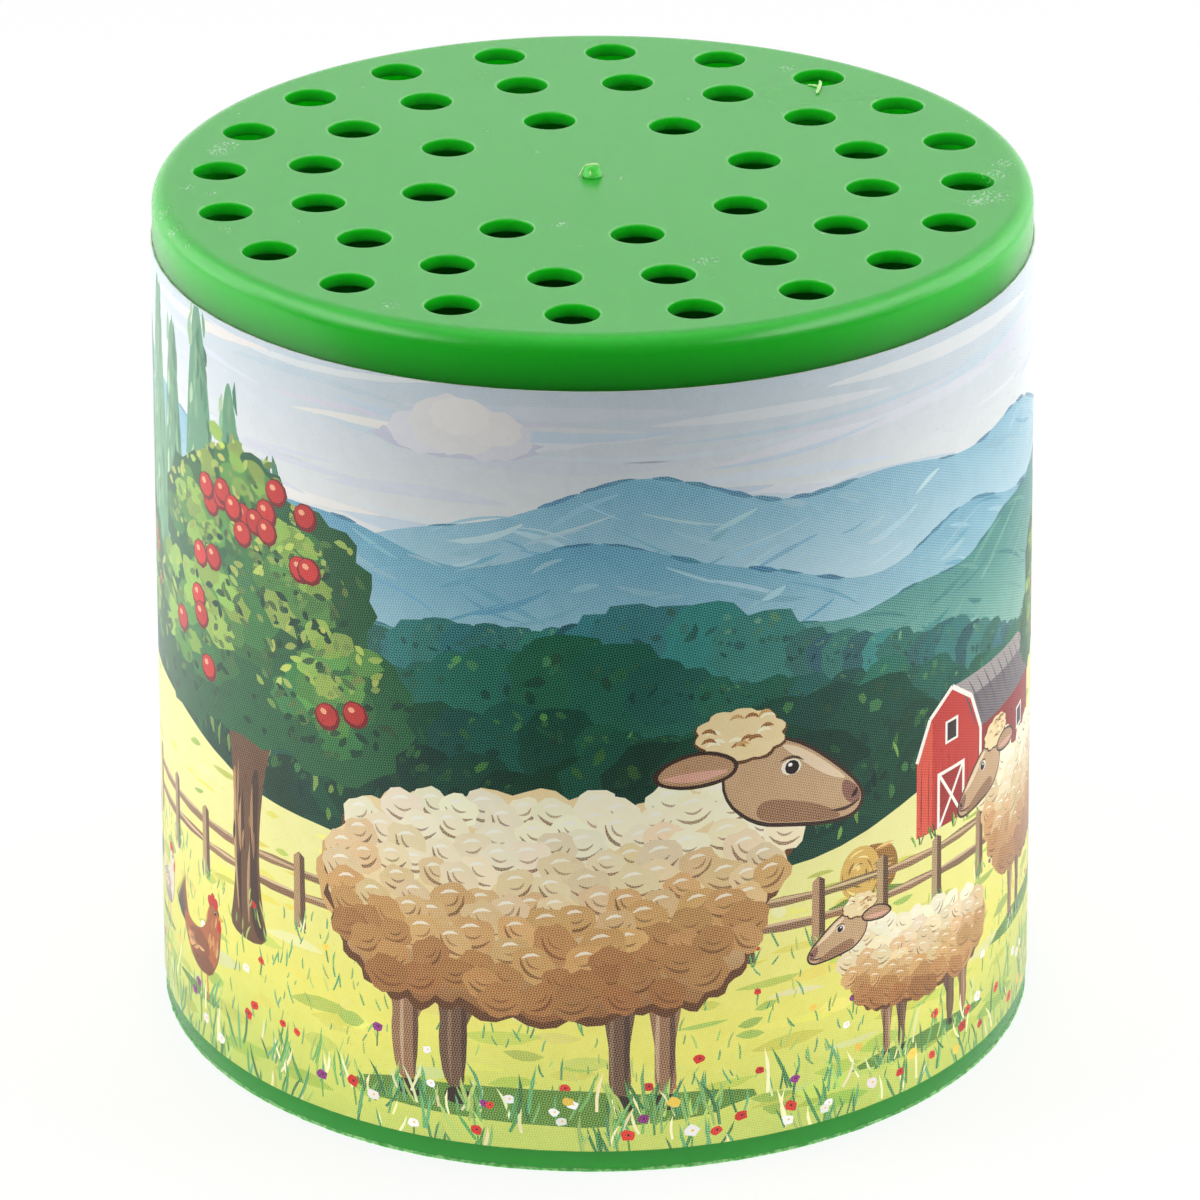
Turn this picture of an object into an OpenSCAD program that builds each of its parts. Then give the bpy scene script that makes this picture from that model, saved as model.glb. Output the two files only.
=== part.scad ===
// Animal sound box: a perforated plastic can that calls when it is turned over.
// A weight slides in the can and works a bellows, whose air sounds a reed in the voice tube.
// Millimetres, +Z up, origin at the centre of the standing rim, front towards -Y.
// The weight is drawn at the bottom of its travel, with the bellows folded.

/* [Can] */
// Height of the can from its standing rim to its perforated top
can_h = 59; // [54:0.5:75]
// Outside diameter at the perforated top
can_d_top = 58.8; // [56:0.1:64]
// Outside diameter at the standing rim, wider by the moulding draft
can_d_base = 60.3; // [59:0.1:66]
// Thickness of the side wall
can_wall = 1.2; // [0.8:0.1:2]
// Thickness of the perforated top
top_t = 0.9; // [0.6:0.1:2]
// Radius of the rounded top edge
top_edge_r = 1.2; // [0.4:0.1:2]
// Diameter of the gate mark at the centre of the top
gate_d = 1.5; // [0.8:0.1:3]
// Height of the gate mark
gate_h = 0.7; // [0.3:0.1:1.2]

/* [Sound holes] */
// Diameter of one sound hole
hole_d = 3.5; // [2:0.1:4.2]
// Chamfer on the upper edge of each hole
hole_edge = 0.15; // [0.05:0.05:0.3]
// Distance from the edge of the top to the middle of the outer ring
ring_margin = 4.4; // [4:0.1:6]
// Step from the outer ring to the middle ring
ring_step_outer = 6.25; // [5:0.25:7]
// Step from the middle ring to the inner ring
ring_step_inner = 7.5; // [5:0.25:9]
// Holes in the outer ring
ring_n_outer = 20; // [12:1:24]
// Holes in the middle ring
ring_n_middle = 16; // [8:1:18]
// Holes in the inner ring
ring_n_inner = 8; // [4:1:10]
// Turn of the hole pattern about the axis, in degrees
hole_turn = 15; // [0:1:90]

/* [Label] */
// Thickness of the printed film
label_t = 0.12; // [0.05:0.01:0.3]
// Adhesive between the film and the can
label_glue = 0.02; // [0.01:0.01:0.05]
// Distance from the perforated top to the label's upper edge
label_top_margin = 3.5; // [2.5:0.1:8]
// Distance from the standing rim to the label's lower edge
label_base_margin = 1.6; // [1:0.1:6]
// Width of the open seam at the back
label_seam = 0.4; // [0.2:0.1:2]

/* [Base plug] */
// Depth of the plug's underside inside the standing rim
plug_recess = 0.8; // [0.4:0.1:2]
// Thickness of the plug's floor
plug_t = 1.6; // [1:0.1:3]
// Height of the plug's tapered rim above its underside
plug_rim_h = 5; // [3:0.1:6]
// Thickness of the plug's rim
plug_wall = 1.4; // [0.8:0.1:2]
// Clearance of the tapered press fit in the can
plug_fit = 0.03; // [0.01:0.01:0.1]
// Diameter of the moulded dimple under the plug
dimple_d = 8; // [4:0.5:16]
// Depth of that dimple
dimple_depth = 0.5; // [0.2:0.1:0.8]

/* [Bellows] */
// Number of pleats
pleat_n = 6; // [3:1:8]
// Folded height of one pleat
pleat_pitch = 1.5; // [1.2:0.1:2]
// Radial depth of the pleats
pleat_depth = 8; // [6:0.5:9]
// Thickness of the bellows film
film_t = 0.3; // [0.2:0.05:0.4]
// Gap between the pleats and the narrowest part of the can
bellows_gap = 1.7; // [1:0.1:3]
// Distance from the outer folds to the spigots that the cuffs sit on
spigot_inset = 4.5; // [3.5:0.1:5]
// Height of each spigot
spigot_h = 3.5; // [2.5:0.1:5]
// Wall of each spigot
spigot_wall = 1.4; // [0.8:0.1:2]
// Clearance between a spigot and its cuff, and between a cuff and its band
cuff_fit = 0.05; // [0.02:0.01:0.1]
// Diameter of the rubber bands' round section
band_d = 1.6; // [1:0.1:2]

/* [Weight] */
// Clearance between the carrier and the narrowest part of the can
glide_gap = 0.5; // [0.3:0.05:1]
// Thickness of the carrier's floor
carrier_t = 1.6; // [1:0.1:3]
// Thickness of the carrier's rim
carrier_wall = 1.2; // [0.8:0.1:2]
// Height of the carrier's rim above the slug
carrier_lip = 0.5; // [0.1:0.1:1.5]
// Thickness of the steel slug
slug_t = 3.5; // [2:0.1:8]
// Clearance between the slug and the pieces that it fits
slug_fit = 0.1; // [0.05:0.01:0.3]
// Thickness of the felt bumper
felt_t = 2; // [1.5:0.1:4]
// Distance from the slug's edge to the felt
felt_inset = 1.4; // [0.5:0.1:3]
// Distance from the air port to the felt
felt_margin = 0.8; // [0.3:0.1:2]
// Gap between the felt and the perforated top when the weight is right up
top_gap = 0.4; // [0.2:0.1:1]

/* [Voice] */
// Outside diameter of the voice tube
tube_d = 16; // [14:0.1:17]
// Wall of the voice tube
tube_wall = 1.2; // [0.8:0.1:1.6]
// Gap under the voice tube when the weight is right down
tube_foot_gap = 1.6; // [0.8:0.1:4]
// Width of the flange at the tube's mouth
flange_w = 2; // [1:0.1:2.5]
// Thickness of that flange
flange_t = 1.2; // [0.8:0.1:1.8]
// Width of the rubber seal washer
seal_w = 1.7; // [1:0.1:2]
// Thickness of the seal washer
seal_t = 1; // [0.5:0.1:2]
// Width of the push nut
nut_w = 2; // [1.5:0.1:2.5]
// Thickness of the push nut
nut_t = 0.5; // [0.3:0.1:1]
// Number of teeth on the push nut
nut_teeth = 8; // [5:1:12]
// Width of the slots between the teeth
nut_slot = 1; // [0.5:0.1:1.5]
// Clearance of the pieces that fit on or in the tube
tube_fit = 0.05; // [0.02:0.01:0.1]

/* [Reed] */
// Depth of the reed block's head inside the mouth of the tube
block_drop = 1; // [0.5:0.1:3]
// Length of the reed block's head
block_head = 6; // [5.5:0.1:8]
// Distance from the foot of the tube to the foot of the reed block
block_foot = 2; // [1:0.1:4]
// Distance of the reed block's flat face from the axis
block_face = 0.6; // [0:0.1:2]
// Closed stretch of the flat face below the air channel
channel_foot = 1.5; // [1:0.1:3]
// Width of the air channel in the flat face
channel_w = 3; // [2:0.1:4]
// Depth of the air channel
channel_depth = 3.6; // [2:0.1:4.5]
// Diameter of the bore that leads the sound up through the head
block_bore = 4.4; // [3:0.1:5]
// Width of the reed tongue
tongue_w = 5; // [4:0.1:6]
// Thickness of the reed tongue
tongue_t = 0.15; // [0.1:0.01:0.3]
// Gap between the tongue and the flat face at rest
tongue_gap = 0.35; // [0.25:0.05:0.6]
// Distance from the tip of the tongue to the foot of the reed block
tongue_foot = 0.8; // [0.3:0.1:1.2]
// Clamped length of the tongue
tongue_root = 4; // [3:0.1:5]
// Clearance around the tongue's root and the wedge
wedge_fit = 0.15; // [0.12:0.01:0.3]

/* [Intake valve] */
// Diameter of the valve disc
valve_d = 8; // [7.6:0.1:9]
// Thickness of the valve disc
valve_t = 0.5; // [0.3:0.05:1]
// Lift of the valve disc
valve_lift = 1.2; // [0.6:0.1:2]
// Distance from the push nut to the edge of the valve disc
valve_margin = 1.2; // [0.6:0.1:1.3]
// Least clearance between the valve disc and the spigot round it
valve_clear = 0.5; // [0.2:0.1:1]
// Clearance above and below the disc at the ends of its lift
valve_seat_gap = 0.05; // [0.02:0.01:0.1]
// Number of air ports under the disc
port_n = 4; // [3:1:5]
// Diameter of one air port
port_d = 1.8; // [1:0.1:2]
// Distance of the ports from the valve pin's axis
port_r = 2.6; // [2.6:0.1:2.8]
// Margin of the slug's air port round the ports in the carrier
port_margin = 0.5; // [0.3:0.1:1]
// Diameter of the valve pin
pin_d = 2; // [1.5:0.1:2.2]
// Diameter of the pin's lower head, which carries the disc
pin_head_d = 4.4; // [3.5:0.1:5]
// Diameter of the pin's upper, riveted head
pin_rivet_d = 3.2; // [2.6:0.1:3.3]
// Height of each head
pin_head_h = 0.6; // [0.3:0.1:1]
// Clearance of the disc on the pin
pin_clear = 0.15; // [0.1:0.01:0.3]
// Clearance of the pin in the carrier
pin_fit = 0.03; // [0.01:0.01:0.1]

/* [Hidden] */
$fn = 96;
// Overshoot of a cut past the face that it goes through
cut = 1;

// Outside and inside radius of the drafted can at height z
function can_r(z) = (can_d_base + (can_d_top - can_d_base) * z / can_h) / 2;
function bore_r(z) = can_r(z) - can_wall;

bore_min_r = min(can_d_top, can_d_base) / 2 - can_wall;
top_under = can_h - top_t;
ring_r_outer = can_d_top / 2 - ring_margin;
ring_r_middle = ring_r_outer - ring_step_outer;
ring_r_inner = ring_r_middle - ring_step_inner;

// Heights of the stack, from the plug up to the felt
plug_top = plug_recess + plug_t;
pleat_z0 = plug_top + spigot_h;
pleat_z1 = pleat_z0 + pleat_n * pleat_pitch;
carrier_z = pleat_z1 + spigot_h;
carrier_top = carrier_z + carrier_t;
slug_top = carrier_top + slug_t;
felt_top = slug_top + felt_t;
travel = top_under - felt_top - top_gap;

// Radii of the voice tube and of the valve beside it
tube_r = tube_d / 2;
tube_bore_r = tube_r - tube_wall;
valve_r = tube_r + nut_w + valve_margin + valve_d / 2;

// Radii of the bellows, of its spigots, which go round the valve, and of its bands
fold_r_out = bore_min_r - bellows_gap;
fold_r_in = fold_r_out - pleat_depth;
spigot_r = max(fold_r_out - spigot_inset, valve_r + valve_d / 2 + valve_clear + spigot_wall);
cuff_r_in = spigot_r + cuff_fit;
cuff_r = cuff_r_in + film_t / 2;
band_r = cuff_r_in + film_t + cuff_fit + band_d / 2;
// Half the radial width that gives the sloping film its thickness
fold_half = film_t * pleat_depth / (pleat_pitch + 2 * film_t);

carrier_r = bore_min_r - glide_gap;
slug_r = carrier_r - carrier_wall - slug_fit;

tube_z = plug_top + tube_foot_gap;
mouth_z = slug_top + flange_t;

block_r = tube_bore_r - tube_fit;
block_top = mouth_z - block_drop;
block_neck = block_top - block_head;
block_z = tube_z + block_foot;
bore_x = block_face - channel_depth + block_bore / 2;
tongue_x = block_face + tongue_gap;
wedge_x = tongue_x + tongue_t + wedge_fit;
notch_w = tongue_w + 2 * wedge_fit;

slug_port_d = 2 * (port_r + port_d / 2 + port_margin);
valve_shut = carrier_z - valve_seat_gap - valve_t;
valve_z = valve_shut - valve_lift;
felt_r_in = valve_r + slug_port_d / 2 + felt_margin;
felt_r_out = slug_r - felt_inset;

echo(travel = travel, reed_axis = [tongue_x + tongue_t / 2, 0, block_neck], lift = valve_lift);

module ring(r_out, r_in, z, h) {
  translate([0, 0, z])
    difference() {
      cylinder(h = h, r = r_out);
      translate([0, 0, -cut])
        cylinder(h = h + 2 * cut, r = r_in);
    }
}

module hole_ring(n, r) {
  for (i = [0 : n - 1])
    rotate(hole_turn + i * 360 / n)
      translate([r, 0, 0])
        children();
}

module sound_hole() {
  translate([0, 0, top_under - cut])
    cylinder(h = top_t + 2 * cut, d = hole_d);
  translate([0, 0, can_h - hole_edge])
    cylinder(h = 2 * hole_edge, d1 = hole_d, d2 = hole_d + 4 * hole_edge);
}

module at_valve() {
  translate([0, valve_r, 0])
    children();
}

module can_profile() {
  edge_z = can_h - top_edge_r;
  edge_r = can_r(edge_z) - top_edge_r;
  difference() {
    union() {
      polygon([[0, 0], [can_r(0), 0], [can_r(edge_z), edge_z], [0, edge_z]]);
      translate([0, edge_z])
        square([edge_r, top_edge_r]);
      translate([edge_r, edge_z])
        circle(r = top_edge_r);
    }
    polygon([[-cut, -cut], [bore_r(-cut), -cut], [bore_r(top_under), top_under], [-cut, top_under]]);
  }
}

// The gate mark is rooted in the top and tapers to half its width
module gate_profile() {
  polygon([
    [0, can_h - top_t / 2],
    [gate_d / 2, can_h - top_t / 2],
    [gate_d / 2, can_h],
    [gate_d / 4, can_h + gate_h],
    [0, can_h + gate_h],
  ]);
}

module can_shell() {
  color("limegreen") {
    difference() {
      rotate_extrude()
        can_profile();
      hole_ring(ring_n_outer, ring_r_outer) sound_hole();
      hole_ring(ring_n_middle, ring_r_middle) sound_hole();
      hole_ring(ring_n_inner, ring_r_inner) sound_hole();
    }
    rotate_extrude()
      gate_profile();
  }
}

module base_plug() {
  rim_z = plug_recess + plug_rim_h;
  color("seagreen")
    difference() {
      union() {
        rotate_extrude()
          polygon([
            [0, plug_recess],
            [bore_r(plug_recess) - plug_fit, plug_recess],
            [bore_r(rim_z) - plug_fit, rim_z],
            [bore_r(rim_z) - plug_fit - plug_wall, rim_z],
            [bore_r(plug_top) - plug_fit - plug_wall, plug_top],
            [0, plug_top],
          ]);
        ring(spigot_r, spigot_r - spigot_wall, plug_top - plug_t / 2, spigot_h + plug_t / 2);
      }
      translate([0, 0, plug_recess - cut])
        cylinder(h = dimple_depth + cut, d = dimple_d);
    }
}

module printed_label() {
  z0 = label_base_margin;
  z1 = can_h - label_top_margin;
  seam_angle = label_seam / can_r(z0) * 180 / PI;
  color("lightblue")
    rotate(90 + seam_angle / 2)
      rotate_extrude(angle = 360 - seam_angle)
        polygon([
          [can_r(z0) + label_glue, z0],
          [can_r(z0) + label_glue + label_t, z0],
          [can_r(z1) + label_glue + label_t, z1],
          [can_r(z1) + label_glue, z1],
        ]);
}

// The film runs up the lower cuff, in and out through the pleats and up the upper cuff.
// Each entry is a radius, a height and half the film's radial width there.
function film_path() = concat(
  [[cuff_r, plug_top + cuff_fit, film_t / 2], [cuff_r, pleat_z0, film_t / 2]],
  [for (i = [1 : 2 * pleat_n - 1])
    [i % 2 == 1 ? fold_r_out - fold_half : fold_r_in + fold_half, pleat_z0 + i * pleat_pitch / 2, fold_half]],
  [[cuff_r, pleat_z1, film_t / 2], [cuff_r, carrier_z - cuff_fit, film_t / 2]]
);

module bellows() {
  path = film_path();
  last = len(path) - 1;
  color("dimgray")
    rotate_extrude()
      polygon(concat(
        [for (i = [0 : last]) [path[i][0] + path[i][2], path[i][1]]],
        [for (i = [last : -1 : 0]) [path[i][0] - path[i][2], path[i][1]]]
      ));
}

module band(z) {
  translate([0, 0, z])
    rotate_extrude()
      translate([band_r, 0])
        circle(d = band_d);
}

module lower_band() {
  color("saddlebrown")
    band(plug_top + spigot_h / 2);
}

module upper_band() {
  color("saddlebrown")
    band(carrier_z - spigot_h / 2);
}

module weight_carrier() {
  color("gray")
    difference() {
      union() {
        translate([0, 0, carrier_z])
          cylinder(h = carrier_t, r = carrier_r);
        ring(carrier_r, carrier_r - carrier_wall, carrier_z, carrier_t + slug_t + carrier_lip);
        ring(spigot_r, spigot_r - spigot_wall, pleat_z1, spigot_h + carrier_t / 2);
      }
      translate([0, 0, carrier_z - cut])
        cylinder(h = carrier_t + 2 * cut, r = tube_r + tube_fit);
      at_valve() {
        translate([0, 0, carrier_z - cut])
          cylinder(h = carrier_t + 2 * cut, d = pin_d + 2 * pin_fit);
        for (i = [0 : port_n - 1])
          rotate((i + 0.5) * 360 / port_n)
            translate([port_r, 0, carrier_z - cut])
              cylinder(h = carrier_t + 2 * cut, d = port_d);
      }
    }
}

module weight_slug() {
  color("lightsteelblue")
    difference() {
      ring(slug_r, tube_r + slug_fit, carrier_top, slug_t);
      at_valve()
        translate([0, 0, carrier_top - cut])
          cylinder(h = slug_t + 2 * cut, d = slug_port_d);
    }
}

module felt_bumper() {
  color("darkseagreen")
    ring(felt_r_out, felt_r_in, slug_top, felt_t);
}

module voice_tube() {
  color("ivory") {
    ring(tube_r, tube_bore_r, tube_z, mouth_z - tube_z);
    ring(tube_r + flange_w, tube_bore_r, slug_top, flange_t);
  }
}

module tube_seal() {
  color("black")
    ring(tube_r + seal_w, tube_r + tube_fit, carrier_z - seal_t, seal_t);
}

module push_nut() {
  nut_z = carrier_z - seal_t - nut_t;
  color("silver")
    difference() {
      ring(tube_r + nut_w, tube_r + tube_fit, nut_z, nut_t);
      for (i = [0 : nut_teeth - 1])
        rotate(i * 360 / nut_teeth)
          translate([0, -nut_slot / 2, nut_z - cut])
            cube([tube_r + nut_w / 2, nut_slot, nut_t + 2 * cut]);
    }
}

module reed_block() {
  color("white")
    difference() {
      translate([0, 0, block_z])
        cylinder(h = block_top - block_z, r = block_r);
      translate([block_face, -tube_r, block_z - cut])
        cube([tube_d, tube_d, block_neck - block_z + cut]);
      translate([block_face, -notch_w / 2, block_neck - cut])
        cube([tube_d, notch_w, tongue_root + wedge_fit + cut]);
      translate([block_face - channel_depth, -channel_w / 2, block_z + channel_foot])
        cube([channel_depth + cut, channel_w, block_neck - block_z - channel_foot]);
      translate([bore_x, 0, block_neck - block_bore])
        cylinder(h = block_head + block_bore + cut, d = block_bore);
    }
}

module reed_tongue() {
  color("gold")
    translate([tongue_x, -tongue_w / 2, block_z + tongue_foot])
      cube([tongue_t, tongue_w, block_neck - block_z - tongue_foot + tongue_root]);
}

module reed_wedge() {
  color("tan")
    intersection() {
      translate([0, 0, block_neck])
        cylinder(h = tongue_root, r = block_r);
      translate([wedge_x, -tongue_w / 2, block_neck])
        cube([tube_r, tongue_w, tongue_root]);
    }
}

module valve_disc() {
  color("darkslategray")
    at_valve()
      ring(valve_d / 2, pin_d / 2 + pin_clear, valve_z, valve_t);
}

module valve_pin() {
  head_z = valve_z - valve_seat_gap - pin_head_h;
  color("peru")
    at_valve() {
      translate([0, 0, head_z])
        cylinder(h = pin_head_h, d = pin_head_d);
      translate([0, 0, head_z])
        cylinder(h = carrier_top + pin_head_h - head_z, d = pin_d);
      translate([0, 0, carrier_top])
        cylinder(h = pin_head_h, d = pin_rivet_d);
    }
}

can_shell();
base_plug();
printed_label();
bellows();
lower_band();
upper_band();
weight_carrier();
weight_slug();
felt_bumper();
voice_tube();
tube_seal();
push_nut();
reed_block();
reed_tongue();
reed_wedge();
valve_disc();
valve_pin();
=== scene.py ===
import math
import random

import bmesh
import bpy
import numpy as np
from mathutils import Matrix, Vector
from mathutils.bvhtree import BVHTree
from mathutils.geometry import delaunay_2d_cdt


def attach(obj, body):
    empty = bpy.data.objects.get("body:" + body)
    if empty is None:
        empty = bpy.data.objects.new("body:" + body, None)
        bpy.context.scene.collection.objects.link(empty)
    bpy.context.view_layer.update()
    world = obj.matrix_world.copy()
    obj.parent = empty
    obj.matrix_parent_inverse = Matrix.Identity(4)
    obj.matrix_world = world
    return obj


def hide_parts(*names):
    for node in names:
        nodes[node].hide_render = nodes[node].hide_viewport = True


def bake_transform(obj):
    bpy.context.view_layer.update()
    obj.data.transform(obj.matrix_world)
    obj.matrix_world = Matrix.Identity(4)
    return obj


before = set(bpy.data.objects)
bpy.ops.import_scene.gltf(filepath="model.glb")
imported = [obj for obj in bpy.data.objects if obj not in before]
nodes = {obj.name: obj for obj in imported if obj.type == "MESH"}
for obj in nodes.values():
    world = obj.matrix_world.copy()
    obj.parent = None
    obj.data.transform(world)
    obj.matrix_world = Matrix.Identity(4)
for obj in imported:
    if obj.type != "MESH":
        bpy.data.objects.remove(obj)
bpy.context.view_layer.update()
mm = 0.001
print("frame loaded,", len(nodes), "nodes")

canSizes = {  # the can's own sizes, in mm, as the solids have them
    "height": 59.0, "topD": 58.8, "baseD": 60.3, "wall": 1.2, "topT": 0.9, "edgeR": 1.2,
    "holeD": 3.5, "lip": 0.11, "rings": ((25.0, 20), (18.75, 16), (11.25, 8)), "turn": 15.0,
    "labelBase": 1.6, "labelTop": 55.5, "labelGlue": 0.02, "labelT": 0.12, "labelSeam": 0.4,
    "outside": (55.6, 30.0, 1.5, 0.25), "foot": ((0.07, 0.07), (0.25, 0.0)), "bore": (20.0, 40.0),
    "segments": 256, "edgeSteps": 10, "holeSegments": 48, "lipSteps": 5,
}
treeSet = {"weld": 1e-6, "crease": 0.6, "rise": 90, "detail": 3.0}  # rise: a ripple's change with height


def canR(z):  # outside radius of the drafted can at height z
    return (canSizes["baseD"] + (canSizes["topD"] - canSizes["baseD"]) * z / canSizes["height"]) / 2


class Wire:  # one socket of a node tree; sums on it add Math nodes
    def __init__(self, tree, out=None):
        self.tree, self.out = tree, out

    def node(self, kind, settings=None, values=None, out=0):
        made = self.tree.nodes.new(kind)
        for key, value in (settings or {}).items():
            setattr(made, key, value)
        for key, value in (values or {}).items():
            for one in value if isinstance(value, list) else [value]:
                if isinstance(one, Wire):
                    self.tree.links.new(one.out, made.inputs[key])
                else:
                    made.inputs[key].default_value = one
        return Wire(self.tree, made.outputs[out])

    def get(self, name):  # another output of the same node
        return Wire(self.tree, self.out.node.outputs[name])

    def maths(self, operation, a, b=0.0):
        return self.node("ShaderNodeMath", {"operation": operation}, {0: a, 1: b})

    def __add__(self, other):
        return self.maths("ADD", self, other)

    def __sub__(self, other):
        return self.maths("SUBTRACT", self, other)

    def __rsub__(self, other):
        return self.maths("SUBTRACT", other, self)

    def __mul__(self, other):
        return self.maths("MULTIPLY", self, other)

    def __truediv__(self, other):
        return self.maths("DIVIDE", self, other)

    def __gt__(self, other):
        return self.maths("GREATER_THAN", self, other)

    __radd__ = __add__
    __rmul__ = __mul__

    def sin(self):
        return self.maths("SINE", self)

    def cos(self):
        return self.maths("COSINE", self)

    def most(self, other):
        return self.maths("MAXIMUM", self, other)

    def least(self, other):
        return self.maths("MINIMUM", self, other)

    def ease(self, low, high):  # smooth step from 0 at low to 1 at high
        return self.node("ShaderNodeMapRange", {"interpolation_type": "SMOOTHSTEP"},
                         {"Value": self, "From Min": low, "From Max": high})

    def blend(self, a, b):  # colour a to colour b by this factor
        return self.node("ShaderNodeMix", {"data_type": "RGBA"}, {0: self, 6: a, 7: b}, 2)

    def join(self, x=0.0, y=0.0, z=0.0):  # three values to one vector
        return self.node("ShaderNodeCombineXYZ", {}, {0: x, 1: y, 2: z})

    def split(self, place):  # a vector whose X, Y and Z can be got
        return self.node("ShaderNodeSeparateXYZ", {}, {0: place})

    def apart(self, a, b=(0, 0, 0)):  # distance between two places
        return self.node("ShaderNodeVectorMath", {"operation": "DISTANCE"}, {0: a, 1: b}, "Value")


def rgb(*screen):  # screen colour to scene colour
    return tuple(((v / 255 + 0.055) / 1.055) ** 2.4 if v > 10 else v / 255 / 12.92 for v in screen) + (1.0,)


def newFinish(name, fixed, paint):
    finish = bpy.data.materials.new(name)
    finish.use_nodes = True
    tree = finish.node_tree
    shader = tree.nodes["Principled BSDF"]
    for key, value in fixed.items():
        shader.inputs[key].default_value = value
    for key, wire in paint(Wire(tree)).items():
        tree.links.new(wire.out, shader.inputs[key])
    return finish


def objectPlace(w):
    return w.node("ShaderNodeTexCoord", out="Object")


def grain(w, place, size, detail=2.0, stretch=None, turn=0.0):  # noise with features of about size mm
    if stretch:
        place = w.node("ShaderNodeMapping", {}, {"Vector": place, "Scale": stretch, "Rotation": (0, 0, turn)})
    return w.node("ShaderNodeTexNoise", {}, {"Vector": place, "Scale": 1000 / size, "Detail": detail})


def bump(w, height, strength, depth):
    return w.node("ShaderNodeBump", {}, {"Height": height, "Strength": strength, "Distance": depth * mm})


def addObject(name, data):
    made = bpy.data.objects.new(name, data)
    bpy.context.scene.collection.objects.link(made)
    return made


def newTree(name, inputs):
    tree = bpy.data.node_groups.new(name, "GeometryNodeTree")
    tree.interface.new_socket("Geometry", in_out="OUTPUT", socket_type="NodeSocketGeometry")
    tree.interface.new_socket("Geometry", in_out="INPUT", socket_type="NodeSocketGeometry")
    for label, kind in inputs.items():
        tree.interface.new_socket(label, in_out="INPUT", socket_type="NodeSocket" + kind)
    entry = tree.nodes.new("NodeGroupInput")
    return Wire(tree), {s.name: Wire(tree, s) for s in entry.outputs if s.name}


def closeTree(w, shape, finish):  # weld, shade, realise and paint, then out
    weld = w.node("GeometryNodeMergeByDistance", {}, {"Geometry": shape, "Distance": treeSet["weld"]})
    soft = w.node("GeometryNodeSetShadeSmooth", {"domain": "FACE"}, {"Geometry": weld, "Shade Smooth": True})
    angle = w.node("GeometryNodeInputMeshEdgeAngle")
    crisp = w.node("GeometryNodeSetShadeSmooth", {"domain": "EDGE"},
                   {"Geometry": soft, "Selection": angle > treeSet["crease"], "Shade Smooth": False})
    whole = w.node("GeometryNodeRealizeInstances", {}, {"Geometry": crisp})
    done = w.node("GeometryNodeSetMaterial", {}, {"Geometry": whole, "Material": finish})
    exitNode = w.tree.nodes.new("NodeGroupOutput")
    w.tree.links.new(done.out, exitNode.inputs[0])
    return w.tree


def runTree(tree, name, base, values):  # a plain mesh piece from the tree
    piece = addObject(name, base)
    shaper = piece.modifiers.new(tree.name, "NODES")
    shaper.node_group = tree
    for item in tree.interface.items_tree:
        if item.in_out == "INPUT" and item.name in values:
            shaper[item.identifier] = values[item.name]
    evaluated = piece.evaluated_get(bpy.context.evaluated_depsgraph_get())
    shaped = bpy.data.meshes.new_from_object(evaluated)
    piece.modifiers.clear()
    piece.data = shaped
    shaped.name = name
    print(name, "shaped:", len(shaped.polygons), "faces")
    return piece


def outlineMesh(name, points):  # points (radius, height) in mm, as a chain of edges in the XZ plane
    mesh = bpy.data.meshes.new(name)
    edges = [(i, i + 1) for i in range(len(points) - 1)]
    mesh.from_pydata([(r * mm, 0, z * mm) for r, z in points], edges, [])
    return mesh


def gridPlace(w, rows):  # row and column of each point of a grid
    index = w.node("GeometryNodeInputIndex")
    column = w.maths("FLOOR", index / rows)
    return index - column * rows, column


def roundAxis(w, radius, angle, height):
    return w.join(radius * angle.cos(), radius * angle.sin(), height)


def turned(w, profile, rows, segments, ripple=None):  # profile points swept round the axis
    sheet = w.node("GeometryNodeMeshGrid", {}, {"Vertices X": segments + 1, "Vertices Y": rows})
    row, column = gridPlace(w, rows)
    spot = w.split(w.node("GeometryNodeSampleIndex", {"data_type": "FLOAT_VECTOR"}, {
        "Geometry": profile, "Value": w.node("GeometryNodeInputPosition"), "Index": row}))
    angle = column * math.tau / segments
    radius, height = spot.get("X"), spot.get("Z")
    if ripple:
        circle = w.join(angle.cos(), angle.sin(), height * treeSet["rise"])
        wave = w.node("ShaderNodeTexNoise", {}, {
            "Vector": circle, "Scale": ripple[1], "Detail": treeSet["detail"]})
        radius = radius + (wave - 0.5) * ripple[0]
    place = roundAxis(w, radius, angle, height)
    return w.node("GeometryNodeSetPosition", {}, {"Geometry": sheet, "Position": place})


def makeLatheTree():
    w, put = newTree("turnedPiece", {"Rows": "Int", "Segments": "Int", "Ripple": "Float",
                                     "RippleScale": "Float", "Finish": "Material"})
    shape = turned(w, put["Geometry"], put["Rows"], put["Segments"], (put["Ripple"], put["RippleScale"]))
    return closeTree(w, shape, put["Finish"])


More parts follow.
